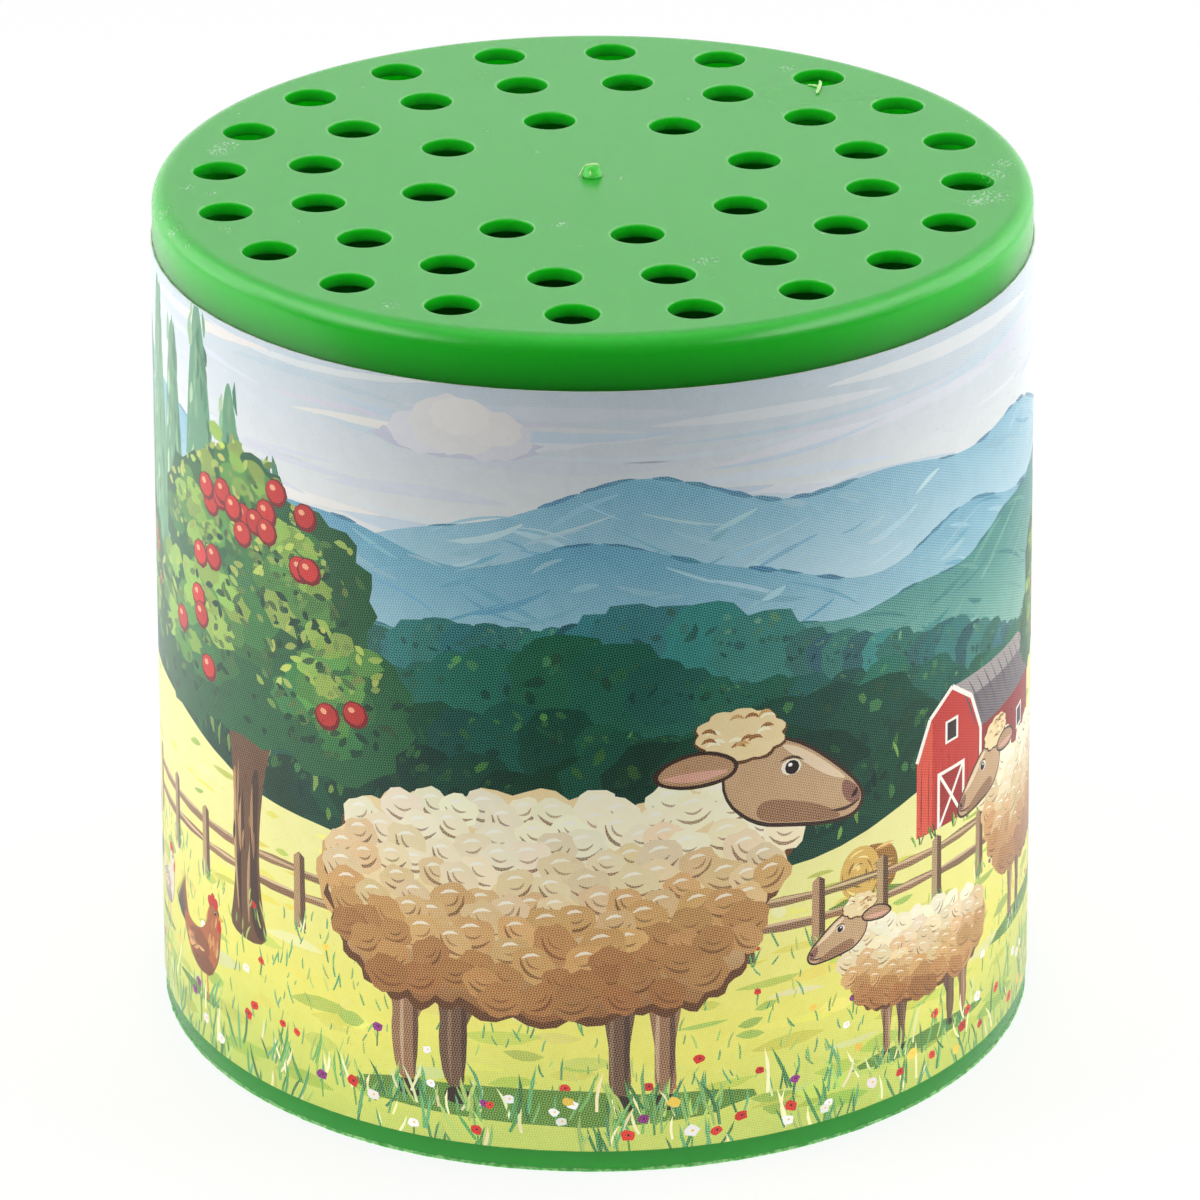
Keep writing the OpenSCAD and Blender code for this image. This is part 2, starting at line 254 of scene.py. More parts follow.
def makeCanTree():
    ringParts = (("Ring", "Float"), ("Count", "Int"))
    w, put = newTree("perforatedCan", {
        "Rows": "Int", "Segments": "Int", "Top": "Float", "Under": "Float", "PlateR": "Float",
        "BoreR": "Float", "HoleR": "Float", "Lip": "Float", "HoleSegments": "Int", "LipSteps": "Int",
        "Turn": "Float", "Finish": "Material",
        **{f"{part}{i}": kind for i in (1, 2, 3) for part, kind in ringParts}})
    side = turned(w, put["Geometry"], put["Rows"], put["Segments"])
    rings = [w.node("GeometryNodeMeshCircle", {}, {"Vertices": put[f"Count{i}"], "Radius": put[f"Ring{i}"]})
             for i in (1, 2, 3)]
    spots = w.node("GeometryNodeTransform", {}, {
        "Geometry": w.node("GeometryNodeJoinGeometry", {}, {0: rings}), "Rotation": w.join(z=put["Turn"])})

    def loop(sides, radius):
        return w.node("GeometryNodeCurvePrimitiveCircle", {}, {"Resolution": sides, "Radius": radius})

    def atSpots(shape):  # one copy at each hole
        copies = w.node("GeometryNodeInstanceOnPoints", {}, {"Points": spots, "Instance": shape})
        return w.node("GeometryNodeRealizeInstances", {}, {"Geometry": copies})

    def sheetWithHoles(rim, hole, height):  # a disc with the hole pattern left open
        outline = w.node("GeometryNodeJoinGeometry", {}, {0: [
            atSpots(loop(put["HoleSegments"], hole)), loop(put["Segments"], rim)]})
        face = w.node("GeometryNodeFillCurve", {"mode": "TRIANGLES"}, {"Curve": outline})
        return w.node("GeometryNodeSetPosition", {}, {"Geometry": face, "Offset": w.join(z=height)})

    steps, sides = put["LipSteps"], put["HoleSegments"]
    rows = steps + 2
    collar = w.node("GeometryNodeMeshGrid", {}, {"Vertices X": sides + 1, "Vertices Y": rows})
    row, column = gridPlace(w, rows)
    bend = (row / steps).least(1.0) * (math.pi / 2)
    wall = row > steps + 0.5
    radius = put["HoleR"] + put["Lip"] * (1 - bend.sin())
    height = (put["Top"] - put["Lip"] * (1 - bend.cos())) * (1 - wall) + put["Under"] * wall
    place = roundAxis(w, radius, column * math.tau / sides, height)
    collar = w.node("GeometryNodeSetPosition", {}, {"Geometry": collar, "Position": place})
    upper = sheetWithHoles(put["PlateR"], put["HoleR"] + put["Lip"], put["Top"])
    lower = sheetWithHoles(put["BoreR"], put["HoleR"], put["Under"])
    lower = w.node("GeometryNodeFlipFaces", {}, {"Mesh": lower})
    shape = w.node("GeometryNodeJoinGeometry", {}, {0: [side, upper, lower, atSpots(collar)]})
    return closeTree(w, shape, put["Finish"])


latheTree = makeLatheTree()


def pointOutward(piece):  # faces of a closed shell turned outwards
    work = bmesh.new()
    work.from_mesh(piece.data)
    bmesh.ops.recalc_face_normals(work, faces=work.faces)
    openEdges = sum(1 for e in work.edges if not e.is_manifold)
    work.to_mesh(piece.data)
    work.free()
    if openEdges:
        print(piece.name, "has", openEdges, "open edges")


def turnPiece(name, profile, sizes, finish):  # a ring turned from a closed profile
    much, scale = sizes["ripple"]
    piece = runTree(latheTree, name, outlineMesh(name + "Profile", profile + profile[:1]), {
        "Rows": len(profile) + 1, "Segments": sizes["segments"], "Ripple": much * mm, "RippleScale": scale,
        "Finish": finish})
    pointOutward(piece)
    return piece


def settle(piece, body, slot, *stoodFor):
    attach(piece, body)
    if stoodFor:
        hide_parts(*stoodFor)
    return piece


# green moulded plastic
# one green in lighter and darker copies by where light falls: the wall lightest below the lit top edge, the
# top darker, painted shade on the skirt toward the label and on the foot, painted light inside under the
# holes fading to painted shade deeper down
greenSet = {
    "wall": (0.018, 0.57, 0.028, 1), "shadedSkirt": (0.012, 0.33, 0.017, 1), "top": (0.018, 0.465, 0.026, 1),
    "foot": (0.011, 0.27, 0.016, 1), "inside": (0.03, 0.82, 0.05, 1), "deep": (0.014, 0.40, 0.022, 1),
    "cloud": (0.03, 0.42, 0.02, 1), "scuff": (0.55, 0.78, 0.56, 1), "holeEdgeTone": (0.17, 0.66, 0.15, 1),
    "topFrom": (58.8, 58.98), "skirtFrom": (58.0, 55.4), "footShadeFrom": (3.0, 1.4), "deepShadeFrom": (55.5, 46.0),
    "boreFrom": (28.7, 28.5), "underFrom": (58.1, 57.9), "rim": 0.07,  # in mm
    "fixed": {"IOR": 1.5, "Subsurface Weight": 1.0, "Subsurface Radius": (0.25, 1.0, 0.3),
              "Subsurface Scale": 2.6 * mm},
    "rubbed": (  # place and reach
        (-24.8, 6.2, 1.7), (-25.3, 4.8, 1.2), (-26.8, -2.0, 0.9), (-25.3, -3.0, 0.7), (-28.5, -6.2, 1.3),
        (-27.6, -9.5, 1.4), (-26.9, -11.9, 1.2), (26.4, -4.2, 2.1), (25.2, -5.3, 1.5), (26.9, 0.0, 1.6),
        (27.5, 2.1, 1.3), (-24.0, -9.9, 0.8), (-2.0, -9.2, 1.0), (7.2, -15.8, 1.4), (13.6, 21.3, 1.1),
        (-12.9, -23.5, 1.0), (1.8, -0.5, 0.5)),
}


def holeRim(w, part):  # 1 on a hair line round each hole
    flat = w.join(part.get("X"), part.get("Y"))
    turn = math.radians(canSizes["turn"])
    angle = w.maths("ARCTAN2", part.get("Y"), part.get("X")) - turn
    near = 1.0
    for radius, count in canSizes["rings"]:
        snapped = w.maths("ROUND", angle * (count / math.tau)) * (math.tau / count) + turn
        middle = w.join(snapped.cos() * (radius * mm), snapped.sin() * (radius * mm))
        near = w.apart(flat, middle).least(near)
    edge = (canSizes["holeD"] / 2 + canSizes["lip"]) * mm
    return near.ease(edge + greenSet["rim"] * mm, edge)


def paintGreen(w):
    g = greenSet
    place = objectPlace(w)
    part = w.split(place)
    high = part.get("Z") * 1000
    cloudy = grain(w, place, 9, 3.0)
    far = w.apart(w.join(part.get("X"), part.get("Y"))) * 1000
    onTop = high.ease(*g["topFrom"])
    # painted shade: the side wall's green darkens down toward the label's top edge
    body = high.ease(*g["skirtFrom"]).blend(g["wall"], g["shadedSkirt"])
    # painted shade: the green darkens over the lowest few mm, next to the floor
    body = high.ease(*g["footShadeFrom"]).blend(body, g["foot"])
    # painted light on the inside under the top, fading to painted shade lower down the bore
    within = high.ease(*g["deepShadeFrom"]).blend(g["inside"], g["deep"])
    body = (far.ease(*g["boreFrom"]) * high.ease(*g["underFrom"])).blend(body, within)
    # the top face takes a darker copy of the green than the wall, toned down for the stronger light on it
    body = onTop.blend(body, g["top"])
    body = (cloudy * 0.12).blend(body, g["cloud"])
    # a paler hair line painted round each hole's edge on the top
    body = (holeRim(w, part) * onTop * (cloudy * 0.9 + 0.1)).blend(body, g["holeEdgeTone"])
    rubbed = 0.0
    for x, y, reach in g["rubbed"]:
        off = w.apart(place, (x * mm, y * mm, canSizes["height"] * mm))
        rubbed = off.ease(reach * mm, 0.2 * reach * mm) + rubbed
    fleck = grain(w, place, 0.24, 3.0, (1.3, 0.6, 1), 0.5)
    speck = grain(w, place, 0.7, 1.0).ease(0.80, 0.83) * onTop
    worn = ((fleck + rubbed * 0.16).ease(0.66, 0.80) * rubbed.least(1.0) * 0.9 + speck * 0.4).least(1.0)
    satin = 0.21 + cloudy * 0.09 + worn * 0.25
    height = grain(w, place, 0.5, 2.0) * 0.25 + cloudy + worn * 0.4
    return {"Base Color": worn.blend(body, g["scuff"]), "Roughness": satin,
            "Normal": bump(w, height, 0.06, 0.25)}


greenPlastic = newFinish("greenPlastic", greenSet["fixed"], paintGreen)


def newTorn(name, low, high, soft):  # green plastic, pale where it was stretched
    def rule(w):
        place = objectPlace(w)
        return {"Base Color": grain(w, place, 0.4, 3.0).ease(0.35, 0.7).blend(low, high),
                "Roughness": 0.3 + grain(w, place, 0.2) * 0.3}
    return newFinish(name, {"IOR": 1.5, "Subsurface Weight": soft, "Subsurface Radius": (0.4, 1.0, 0.4),
                            "Subsurface Scale": 0.6 * mm}, rule)


tornGreen = newTorn("tornGreen", (0.05, 0.60, 0.05, 1), (0.20, 0.80, 0.18, 1), 0.6)
hairGreen = newTorn("hairGreen", (0.46, 0.90, 0.28, 1), (0.72, 0.98, 0.50, 1), 0.0)
rimGreen = newTorn("rimGreen", (0.05, 0.32, 0.05, 1), (0.34, 0.62, 0.27, 1), 0.6)
print("green finishes made")


# can: turned side and perforated top
def makeCan():
    s = canSizes
    edgeZ = s["height"] - s["edgeR"]
    plateR = canR(edgeZ) - s["edgeR"]
    under = s["height"] - s["topT"]
    quarter = [math.pi / 2 * i / s["edgeSteps"] for i in range(s["edgeSteps"] + 1)]
    profile = [(plateR + s["edgeR"] * math.sin(a), edgeZ + s["edgeR"] * math.cos(a)) for a in quarter]
    profile += [(canR(z), z) for z in s["outside"]]
    profile += [(canR(0) - inset, z) for inset, z in s["foot"] + ((s["wall"], 0.0),)]
    profile += [(canR(z) - s["wall"], z) for z in s["bore"] + (under,)]
    values = {
        "Rows": len(profile), "Segments": s["segments"], "Top": s["height"] * mm, "Under": under * mm,
        "PlateR": plateR * mm, "BoreR": (canR(under) - s["wall"]) * mm, "HoleR": s["holeD"] / 2 * mm,
        "Lip": s["lip"] * mm, "HoleSegments": s["holeSegments"], "LipSteps": s["lipSteps"],
        "Turn": math.radians(s["turn"]), "Finish": greenPlastic}
    for i, (radius, count) in enumerate(s["rings"], 1):
        values[f"Ring{i}"], values[f"Count{i}"] = radius * mm, count
    can = runTree(makeCanTree(), "canShell", outlineMesh("canProfile", profile), values)
    pointOutward(can)
    flat = [abs(p.normal.z) > 0.9999 for p in can.data.polygons]
    can.data.polygons.foreach_set("use_smooth", [not f for f in flat])
    settle(can, "case", "green_shell", "can_shell")


makeCan()

# printed film: a meadow painted as flat shapes, one over another, then cut into one sheet
printSet = {"seed": 23, "grid": 2.5, "refR": 29.9, "leaves": 180, "grass": 1500, "flowers": 190, "dabs": 460,
            "slack": 0.012, "snap": 2e-4, "backGrid": (75, 6)}
rng = random.Random(printSet["seed"])
sheetHalf = math.pi * printSet["refR"]
sheetEnd = sheetHalf + 1  # the paint goes a little past the film's ends
sheetHigh = canSizes["labelTop"] - canSizes["labelBase"]
shapes = []  # outline in mm on the flat sheet, and its screen colour or colour rule
ink = (66, 46, 36)
wool = ((254, 246, 212), (245, 222, 168), (217, 172, 108), (168, 114, 62), (110, 70, 40))
grassTones = ((92, 158, 92), (130, 184, 104), (106, 172, 114), (182, 208, 110), (76, 138, 82),
              (248, 243, 186))


def paint(outline, colour):
    turn = sum(a[0] * b[1] - b[0] * a[1] for a, b in zip(outline, outline[1:] + outline[:1]))
    shapes.append((outline if turn > 0 else outline[::-1], colour))


def between(a, b, t):
    t = min(1.0, max(0.0, t))
    return tuple(p + (q - p) * t for p, q in zip(a, b))


def vary(colour, much=0.06):
    k = 1 + rng.uniform(-much, much)
    return tuple(min(255, c * k * (1 + rng.uniform(-much, much) / 2)) for c in colour)


def varyOne(much, *colours):  # one of the colours, varied
    return vary(rng.choice(colours), much)


def anywhere():  # a place round the sheet
    return rng.uniform(-sheetHalf, sheetHalf)


def fade(low, high, y0, y1):  # colour that changes with height
    return lambda x, y: between(low, high, (y - y0) / (y1 - y0))


def blob(x, y, rx, ry, n=10, rough=0.1, turn=0.0, bumps=0, deep=0.08):
    points = []
    cos, sin = math.cos(turn), math.sin(turn)
    for i in range(n):
        a = math.tau * i / n
        k = 1 + rng.uniform(-rough, rough) + (deep * abs(math.sin(a * bumps / 2)) if bumps else 0)
        u, v = rx * k * math.cos(a), ry * k * math.sin(a)
        points.append((x + u * cos - v * sin, y + u * sin + v * cos))
    return points


def smooth(points, times=2):  # corners cut off, again and again
    for i in range(times):
        sides = zip(points, points[1:] + points[:1])
        points = [p for a, b in sides for p in (between(a, b, .25), between(a, b, .75))]
    return points


def bow(p, q, bend=0.0, n=5):  # points of a curve from p to q, pushed sideways by bend
    mx, my = (p[0] + q[0]) / 2 - (q[1] - p[1]) * bend, (p[1] + q[1]) / 2 + (q[0] - p[0]) * bend
    steps = [i / (n - 1) for i in range(n)]
    return [((1 - t) ** 2 * p[0] + 2 * t * (1 - t) * mx + t * t * q[0],
             (1 - t) ** 2 * p[1] + 2 * t * (1 - t) * my + t * t * q[1]) for t in steps]


def stroke(points, wide, first=0.3, last=0.1):  # outline of a brush stroke, widest in the middle
    left, right = [], []
    for i, (x, y) in enumerate(points):
        ax, ay = points[max(0, i - 1)]
        bx, by = points[min(len(points) - 1, i + 1)]
        size = math.hypot(bx - ax, by - ay) or 1
        t = i / (len(points) - 1)
        half = wide / 2 * max(first * (1 - t), last * t, math.sin(math.pi * t) ** 0.6)
        left.append((x - (by - ay) / size * half, y + (bx - ax) / size * half))
        right.append((x + (by - ay) / size * half, y - (bx - ax) / size * half))
    return left + right[::-1]


def dash(p, q, bend, n, wide, colour, first=0.3, last=0.1):  # one bowed brush stroke
    paint(stroke(bow(p, q, bend, n), wide, first, last), colour)


def fillDown(topAt, count, floor):  # the sheet from a line, given by its height at x, down to floor
    line = [-sheetEnd + 2 * sheetEnd * i / count for i in range(count + 1)]
    return [(x, topAt(x)) for x in line] + [(sheetEnd, floor), (-sheetEnd, floor)]


def fillUp(low):  # the sheet from low to its top
    return [(-sheetEnd, low), (sheetEnd, low), (sheetEnd, sheetHigh + 1), (-sheetEnd, sheetHigh + 1)]


class Motif:  # draws in its own units about a foot point, either way round
    def __init__(self, x, y, size, way=1):
        self.x, self.y, self.size, self.way = x, y, size, way

    def at(self, points):
        return [(self.x + self.way * self.size * u, self.y + self.size * v) for u, v in points]

    def fill(self, points, colour):
        paint(self.at(points), colour)

    def soft(self, points, colour):
        paint(smooth(self.at(points)), colour)

    def line(self, p, q, wide, colour, bend=0.0, n=5, first=0.3, last=0.1):
        paint(stroke(self.at(bow(p, q, bend, n)), wide * self.size, first, last), colour)

    def tufts(self, spots, drop, tall, many, tones=grassTones):  # grass in front of the foot
        for u in spots:
            grassTuft(self.x + self.way * self.size * u, self.y - drop, self.size * tall, many, tones)


skySet = {
    "washes": ((224, 234, 241), (234, 239, 243), (211, 227, 238), (247, 245, 240), (228, 231, 240)),
    "clouds": ((-66, 50, 1.0), (-9, 50.6, .8), (58, 50.4, .9), (70, 49.2, .7), (84, 50, 1.1), (-88, 48, .8)),
    "puffs": ((0, -.9, 6.8, 1.1, (214, 218, 232)), (-2.6, -.2, 3.0, 1.7, (236, 238, 244)),
              (2.8, 0, 3.4, 1.9, (232, 234, 240)), (0, .7, 3.6, 2.4, (240, 240, 239)),
              (3.2, .7, 2.2, 1.4, (243, 242, 240)), (.4, 1.5, 2.4, 1.5, (246, 245, 242))),
}


def paintSky():
    paint(fillUp(30), fade((242, 243, 240), (212, 226, 235), 42, sheetHigh))
    for i in range(120):  # thin washes
        x, y = rng.uniform(-sheetHalf - 8, sheetHalf), rng.uniform(42, sheetHigh)
        tint = rng.choice(skySet["washes"])
        dash((x, y), (x + rng.uniform(9, 26), y + rng.uniform(-1.0, 1.2)), rng.uniform(-.07, .07), 8,
             rng.uniform(0.3, 1.2), vary(tint, 0.015), 0.1, 0.1)
    for x, y, s in skySet["clouds"]:
        for u, v, rx, ry, tone in skySet["puffs"]:
            paint(blob(x + u * s, y + v * s, rx * s, ry * s, 22, 0.05, 0, 9, 0.12), tone)


hillSet = (  # height, waves, tones at the foot and the crest, and where these are
    (45.0, ((2.2, 3, .4), (1.4, 5, 1.9), (.6, 11, .3)), (204, 230, 238), (136, 192, 214), 37, 47),
    (41.2, ((1.9, 2, 2.5), (1.2, 7, .8), (.4, 13, 2)), (182, 218, 226), (110, 174, 200), 33, 44),
    (37.0, ((1.6, 3, 4.2), (.9, 5, .2), (.3, 17, 1)), (136, 190, 172), (72, 146, 142), 30, 39))


def paintHills():
    for base, waves, low, high, y0, y1 in hillSet:
        def ridge(x):
            return base + sum(h * math.sin(k * x / printSet["refR"] + p) for h, k, p in waves)

        paint(fillDown(ridge, 150, 25), fade(low, high, y0, y1))
        for i in range(230):  # brush marks down the slopes
            x = anywhere()
            top = ridge(x) - .2 - 5.6 * rng.random() ** 1.3
            tint = between(low, high, rng.uniform(0, 1.15))
            lean = rng.choice((-1, 1)) * rng.uniform(1.6, 6.0)
            dash((x, top), (x + lean, top - abs(lean) * rng.uniform(.2, .55)), rng.uniform(-.15, .15), 6,
                 rng.uniform(.12, .5), vary(tint, 0.03))
        for i in range(60):  # broken line along the crest
            x = anywhere()
            crest = [(x + k * .5, ridge(x + k * .5) + rng.uniform(-.05, .05)) for k in range(5)]
            paint(stroke(crest, rng.uniform(.15, .4)), vary(between(high, (52, 96, 124), .35), .05))


def sway(x):  # woods stand high at the front and back, the meadow at the sides
    return math.cos(2 * x / printSet["refR"])


def meadowTop(x):
    return 21.6 - 2.9 * sway(x) + .4 * math.sin(x * .3)


def paintTreeLine():
    rows = ((31.4, 4.6, (56, 122, 118), (108, 164, 130), 1.7), (28.4, 4.2, (36, 104, 86), (92, 154, 96), 2.1),
            (25.2, 3.4, (24, 86, 66), (90, 150, 80), 2.5), (22.4, 2.8, (18, 72, 54), (84, 142, 66), 2.7))
    for depth, (y, swing, darkTone, lightTone, size) in enumerate(rows):
        paint(fillDown(lambda x: y + .2 + swing * sway(x), 60, y - 8), darkTone)
        x = -sheetHalf - 2
        while x < sheetHalf + 2:
            swell = 1 + .5 * math.sin(x * .21 + depth * 2) * math.sin(x * .083 + 1)
            r = size * rng.uniform(.75, 1.2) * swell
            top = y + swing * sway(x) + r * .3
            tone = vary(darkTone, .14)
            shade = between(tone, (12, 50, 44), .4)
            paint(blob(x, top, r * 1.1, r * 1.05, 18, .06, 0, 8, .16), tone)
            for i in range(10):  # lit touches on the crown, dark ones below
                a, k = rng.uniform(-.4, 3.5), rng.uniform(.25, 1.0)
                lit = max(0, math.sin(a)) * k * rng.uniform(.3, 1.2)
                touch = blob(x + r * k * math.cos(a), top + r * k * math.sin(a), r * rng.uniform(.10, .24),
                             r * rng.uniform(.07, .14), 5, .3, rng.uniform(0, 3))
                paint(touch, vary(between(shade, lightTone, lit), .1))
            x += r * rng.uniform(.8, 1.3)
    for i in range(300):  # dark and lit touches along the foot of the trees
        x = anywhere()
        y = meadowTop(x) + rng.uniform(.2, 3.8)
        dash((x, y), (x + rng.uniform(-.8, .8), y + rng.uniform(.6, 1.9)), rng.uniform(-.3, .3), 4,
             rng.uniform(.25, .7), varyOne(.1, (12, 54, 46), (26, 82, 60), (60, 118, 62), (116, 158, 74)))


def meadowTone(x, y):
    light = between((240, 235, 112), (244, 240, 158), (y - 9) / 10)
    return between((198, 214, 104), light, y / 8 + .12 * math.sin(x * .3))


def paintMeadow():
    paint(fillDown(meadowTop, 90, -1), meadowTone)
    tints = ((244, 236, 122), (247, 243, 178), (232, 227, 98), (204, 216, 98), (240, 232, 108),
             (176, 202, 94))
    for i in range(printSet["dabs"]):
        x = anywhere()
        y = rng.uniform(1, meadowTop(x) - .6)
        size = 1.5 - y / 20
        end = (x + rng.uniform(1.2, 5.0) * (.6 + size / 2), y + rng.uniform(-.25, .45))
        dash((x, y), end, rng.uniform(-.1, .1), 5, rng.uniform(.2, .7) * (.6 + size),
             vary(between((150, 190, 70), rng.choice(tints), .35 + y / 14), .05), .1, .1)


def grassTuft(x, y, tall, many, tones):
    for i in range(many):
        u = x + rng.uniform(-1, 1) * tall * .35
        lean = rng.uniform(-.45, .45) * tall
        dash((u, y), (u + lean, y + tall * rng.uniform(.55, 1.1)), rng.uniform(-.18, .18), 4,
             tall * .06 + .07, varyOne(.08, *tones), .8, .05)


def paintPoplar(x, y, tall, wide):  # a slim tree of upright touches
    edge = ((.3, .1), (.85, .22), (1, .42), (.75, .7), (.35, .92), (0, 1))
    right = [(x + wide * u, y + tall * v) for u, v in edge]
    left = [(x - wide * u, y + tall * v) for u, v in edge[-2::-1]]
    paint(smooth(right + left), vary((104, 168, 126), .05))
    for i in range(110):
        u, v = rng.uniform(-1, 1), rng.uniform(.12, .94)
        reach = wide * (1.1 - v) ** .5 * min(1, v * 3)
        low = y + tall * v
        tone = between((64, 128, 96), (186, 222, 172), rng.uniform(0, .75) - u * .35)
        dash((x + u * reach, low), (x + u * reach * .8, low + rng.uniform(1.0, 2.4)), rng.uniform(-.2, .2), 4,
             rng.uniform(.25, .6), vary(tone, .06))


crown = ((0, 16.5, 7.4, 5.6), (-5.4, 13.8, 4.4, 3.7), (5.6, 14.2, 4.4, 3.8), (-3.2, 19.6, 4.6, 3.7),
         (3.6, 19.8, 4.4, 3.6), (.2, 22.2, 3.7, 2.9))  # bunches of leaves: middle and reach


def inBunch(bunch, a, k):  # a place at angle a, the share k of the way out
    u, v, rx, ry = bunch
    return u + rx * k * math.cos(a), v + ry * k * math.sin(a)


def paintTree(x, y, s, apples, way=1):
    m = Motif(x, y, s, way)
    m.soft([(-1.5, -.3), (1.7, -.4), (1.1, 2), (.95, 5), (1.5, 9), (2.6, 12), (1.4, 12.4), (.3, 9.4),
            (-.4, 12.5), (-1.5, 12), (-.9, 8.6), (-.8, 4), (-1.0, 1.6)], (112, 78, 52))
    m.soft([(.4, .2), (1.4, -.2), (.9, 2), (.8, 5), (1.2, 9), (.5, 8.6), (.3, 4)], (74, 52, 40))
    for i in range(16):  # bark
        u = rng.uniform(-.9, .9)
        m.line((u, rng.uniform(.2, 7)), (u + rng.uniform(-.2, .2), rng.uniform(3, 9.5)), .2,
               varyOne(.1, (164, 124, 84), (196, 158, 110), (64, 46, 36)), .05)
    for u, v, rx, ry in crown:
        m.fill(blob(u, v - .5, rx, ry, 36, .05, 0, 12, .1), vary((38, 100, 62), .06))
    layers = (((56, 124, 66), -.1, .80), ((88, 150, 70), .6, .62), ((146, 184, 80), 1.3, .46))
    for tone, lift, spread in layers:  # darker below, lighter above
        for bunch in crown:
            for i in range(8):
                a, k = rng.uniform(0, math.tau), rng.uniform(.1, .72)
                px, py = inBunch(bunch, a, k)
                m.fill(blob(px - .6, py + lift, bunch[2] * spread * .34, bunch[3] * spread * .28, 16, .16,
                            rng.uniform(-.5, .5), 6, .2), vary(tone, .09))
    for i in range(int(printSet["leaves"] * s * 1.6)):  # single leaves
        bunch = rng.choice(crown)
        a, k = rng.uniform(0, math.tau), rng.random() ** .6 * .97
        px, py = inBunch(bunch, a, k)
        light = (math.sin(a) * k * .6 - math.cos(a) * k * .3 + .5) + rng.uniform(-.35, .35)
        tone = between((20, 70, 48), (186, 204, 92), light)
        m.line((px, py), (px + rng.uniform(-.8, .8), py + rng.uniform(-.7, .5)), .36, vary(tone, .08),
               rng.uniform(-.2, .2), 4)
    for i in range(apples):
        bunch = rng.choice(crown)
        a, k = rng.uniform(0, math.tau), rng.uniform(.1, .85)
        px, py = inBunch(bunch, a, k)
        m.fill(blob(px, py, .74, .7, 10, .04), (128, 24, 28))
        m.fill(blob(px - .06, py + .06, .6, .56, 10, .04), vary((208, 44, 38), .05))
        m.fill(blob(px - .22, py + .22, .2, .16, 6, .1), (248, 172, 132))


def paintWool(m, mass, coat, step):  # locks laid from the back down, each with its own curl
    spots = []
    for i in range(3000):
        px, py = rng.uniform(-11.6, 12.4), rng.uniform(4.6, 18.9)
        if any(((px - a) / rx) ** 2 + ((py - b) / ry) ** 2 < .95 for a, b, rx, ry in mass):
            if all((px - q) ** 2 + ((py - t) * 1.3) ** 2 > step * step for q, t in spots):
                spots.append((px, py))
    for px, py in sorted(spots, key=lambda p: -p[1]):
        k, turn = step * rng.uniform(.74, .98), rng.uniform(-.8, .8)
        level = (py - 5.4) / 11 - .012 * abs(px + 2) + rng.uniform(-.12, .12)
        if level < .33:
            tone = between(coat[3], coat[2], level * 3)
        else:
            tone = between(coat[2], coat[0], (level - .33) * 2.3)
        m.fill(blob(px, py, k, k * .86, 15, .05, turn, 5, .16), vary(tone, .03))
        for reach, drop, wide, mix in ((.8, .16, .17, .58), (.42, -.1, .12, .42)):  # an arc and a curl
            u, v = math.cos(turn) * reach * k, math.sin(turn) * reach * k
            m.line((px - u, py - v - k * drop), (px + u, py + v - k * drop), wide * (.6 + .4 * step),
                   vary(between(tone, coat[4], mix), .06), -.46, 6, .2, .2)
        if level > .25:
            lit = between(tone, (255, 253, 240), .75)
            m.line((px - k * .5, py + k * .35), (px + k * .35, py + k * .5), .18, lit, .3, 4)


